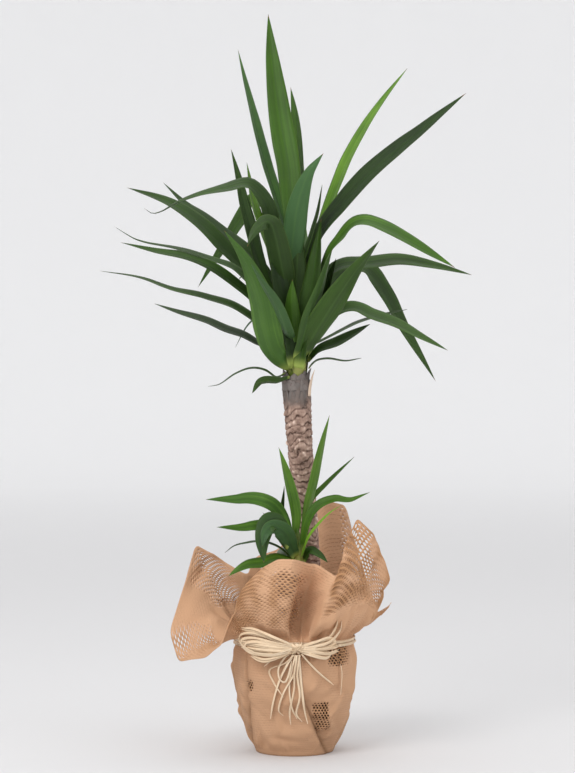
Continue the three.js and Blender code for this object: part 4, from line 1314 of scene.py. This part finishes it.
for title, ends, node_name in (("raffia_bow_left_straps", BOW_LEFT, "raffia_bow_left"),
                               ("raffia_bow_right_straps", BOW_RIGHT, "raffia_bow_right")):
    straps = []
    for k, end in enumerate(ends):
        for extra in range(2):
            shift = np.array([0, -1.2 * extra, 2.2 * extra]) * MM
            path = np.array(end, float) * MM + shift * np.linspace(0, 1, len(end))[:, None]
            path[1:-1, 2] += 0.0015 * (random.random(len(end) - 2) - 0.5)
            straps.append(strap(f"{title}_{k}_{extra}", path, 0.0030 + 0.0014 * random.random(),
                                40 + 2 * k + extra, (-30 + 20 * extra, 50), 40)[0])
    finish_piece(joined(title, straps), RAFFIA, "raffia", node_name)
print("bow:", len(BOW_LEFT), "and", len(BOW_RIGHT), "pairs of straps")

# %% [markdown]
# The cut ends hang below the knot over the paper. Each one is found on the paper itself: its
# route is given from the front, and a ray finds how far forward the paper is at each point.

# %% Hanging ends
TAILS = {
    "raffia_tail_left_strap": ([(-2, 131, 9), (-10, 118, 4), (-20, 96, 2), (-27, 70, 2),
                                (-30, 49, 2)], 3.4, "raffia_tail_left"),
    "raffia_tail_right_strap": ([(5, 131, 9), (6, 118, 5), (8, 92, 2), (12, 62, 2),
                                 (16, 44, 2)], 3.4, "raffia_tail_right"),
    "raffia_end_1": ([(1, 131, 10), (-3, 116, 5), (-7, 92, 2), (-4, 66, 2), (3, 50, 2)], 2.8,
                     None),
    "raffia_end_2": ([(4, 131, 10), (0, 114, 6), (-1, 88, 3), (-6, 62, 2), (-5, 43, 2)], 2.6,
                     None),
    "raffia_end_3": ([(8, 132, 9), (18, 120, 5), (33, 104, 3), (48, 91, 2)], 2.4, None),
    "raffia_end_4": ([(12, 137, 9), (32, 135, 9), (48, 128, 9), (58, 110, 4), (57, 77, 2)], 2.2,
                     None),
    "raffia_end_5": ([(-4, 134, 9), (-18, 128, 6), (-30, 122, 4), (-38, 115, 2)], 2.6, None),
    "raffia_end_6": ([(-1, 131, 10), (-13, 120, 6), (-31, 111, 2), (-26, 96, 2), (-14, 78, 2)],
                     2.2, None),
    "raffia_end_7": ([(2, 131, 11), (-1, 108, 5), (-14, 84, 3), (-20, 62, 2), (-14, 54, 2)],
                     2.6, None),
    "raffia_end_8": ([(6, 131, 11), (3, 106, 6), (6, 80, 4), (2, 58, 3), (9, 47, 2)], 2.8, None),
}
LOOP = [(-3, 134, 9), (-12, 128, 8), (-20, 114, 5), (-19, 101, 4), (-12, 97, 4), (-7, 108, 6),
        (-4, 124, 9)]


def hang(name, route, width, seed, twist, far_end, *replaced):
    piece, line = strap(name, laid(route), width * MM, seed, twist, 60)
    finish_piece(piece, RAFFIA, "raffia", *replaced)


for number, (name, (route, width, replaced)) in enumerate(TAILS.items()):
    way = (-1) ** number
    hang(name, route, width, 80 + number, (15 * way, 35 * way), "bare",
         *([replaced] if replaced else []))
hang("raffia_hanging_loop", LOOP, 2.6, 96, (0, 20), "object")

# %% [markdown]
# The floor is pale studio paper that curves up into a wall far away on every side, so there is
# no horizon line from anywhere. It is part of the stage, not of the plant.

# %% Studio sweep
def sweep(name, around=96):
    profile = [(6.0 + 2.5 * math.sin(a), 2.5 - 2.5 * math.cos(a))
               for a in np.linspace(0, math.pi / 2, 16)] + [(8.5, 6.0)]
    turns = np.linspace(0, 2 * math.pi, around, endpoint=False)
    points = [(0, 0, 0)] + [(r * math.cos(a), r * math.sin(a), z) for r, z in profile
                            for a in turns]
    faces = [(0, 1 + k, 1 + (k + 1) % around) for k in range(around)]
    faces += [face[::-1] for face in ring_faces(len(profile), around, first=1)]
    return new_object(name, points, faces)


floor_paper, floor_tree, floor_shader = new_material("studio_paper", 0.9, Specular_IOR_Level=0.1)
floor_place = node(floor_tree, "ShaderNodeTexCoord").outputs["Object"]
floor_cloud = place_group(floor_tree, MOTTLE, floor_place, Blotches=3.0, Specks=90.0)
floor_reach = node(floor_tree, "ShaderNodeVectorMath", operation="LENGTH")
link(floor_tree, floor_place, floor_reach.inputs[0])
paper_tone = blend_colour(floor_tree, floor_cloud.outputs["Blotch"], (0.94, 0.94, 0.94),
                          (0.955, 0.955, 0.955))
floor_tone = blend_colour(floor_tree, span(floor_tree, floor_reach.outputs["Value"], 0.8, 7.5),
                          (0.670, 0.665, 0.667), paper_tone)
link(floor_tree, floor_tone, floor_shader.inputs["Base Color"])
backdrop = sweep("studio_sweep")
backdrop.data.materials.append(floor_paper)
print("floor and wall:", len(backdrop.data.polygons), "faces")

# %% [markdown]
# One very large soft lamp stands at the front and left above the plant, and a weaker one at the
# right. With the even pale surroundings they leave only a faint shadow on the floor.

# %% Lights
def soft_lamp(name, place, aim, size, power, colour=(1, 1, 1)):
    data = bpy.data.lights.new(name, "AREA")
    data.shape = "RECTANGLE"
    data.size, data.size_y = size
    data.energy = power
    data.color = colour
    lamp = bpy.data.objects.new(name, data)
    lamp.location = place
    lamp.rotation_mode = "QUATERNION"
    lamp.rotation_quaternion = (Vector(aim) - Vector(place)).to_track_quat("-Z", "Y")
    bpy.context.scene.collection.objects.link(lamp)


soft_lamp("key_lamp", (-1.5, -2.2, 2.4), (0, 0, 0.5), (1.6, 1.6), 48)
soft_lamp("fill_lamp", (2.2, -1.6, 1.2), (0, 0, 0.45), (1.8, 1.8), 11)
soft_lamp("top_lamp", (0.2, 0.6, 3.0), (0, 0, 0.5), (2.0, 2.0), 14)

scene = bpy.context.scene
scene.world = bpy.data.worlds.new("studio")
scene.world.use_nodes = True
surround = scene.world.node_tree.nodes["Background"]
surround.inputs["Color"].default_value = (0.985, 0.985, 1.0, 1)
surround.inputs["Strength"].default_value = 0.92
scene.view_settings.view_transform = "Standard"
scene.view_settings.look = "None"
print("lights: three lamps and a pale surround")
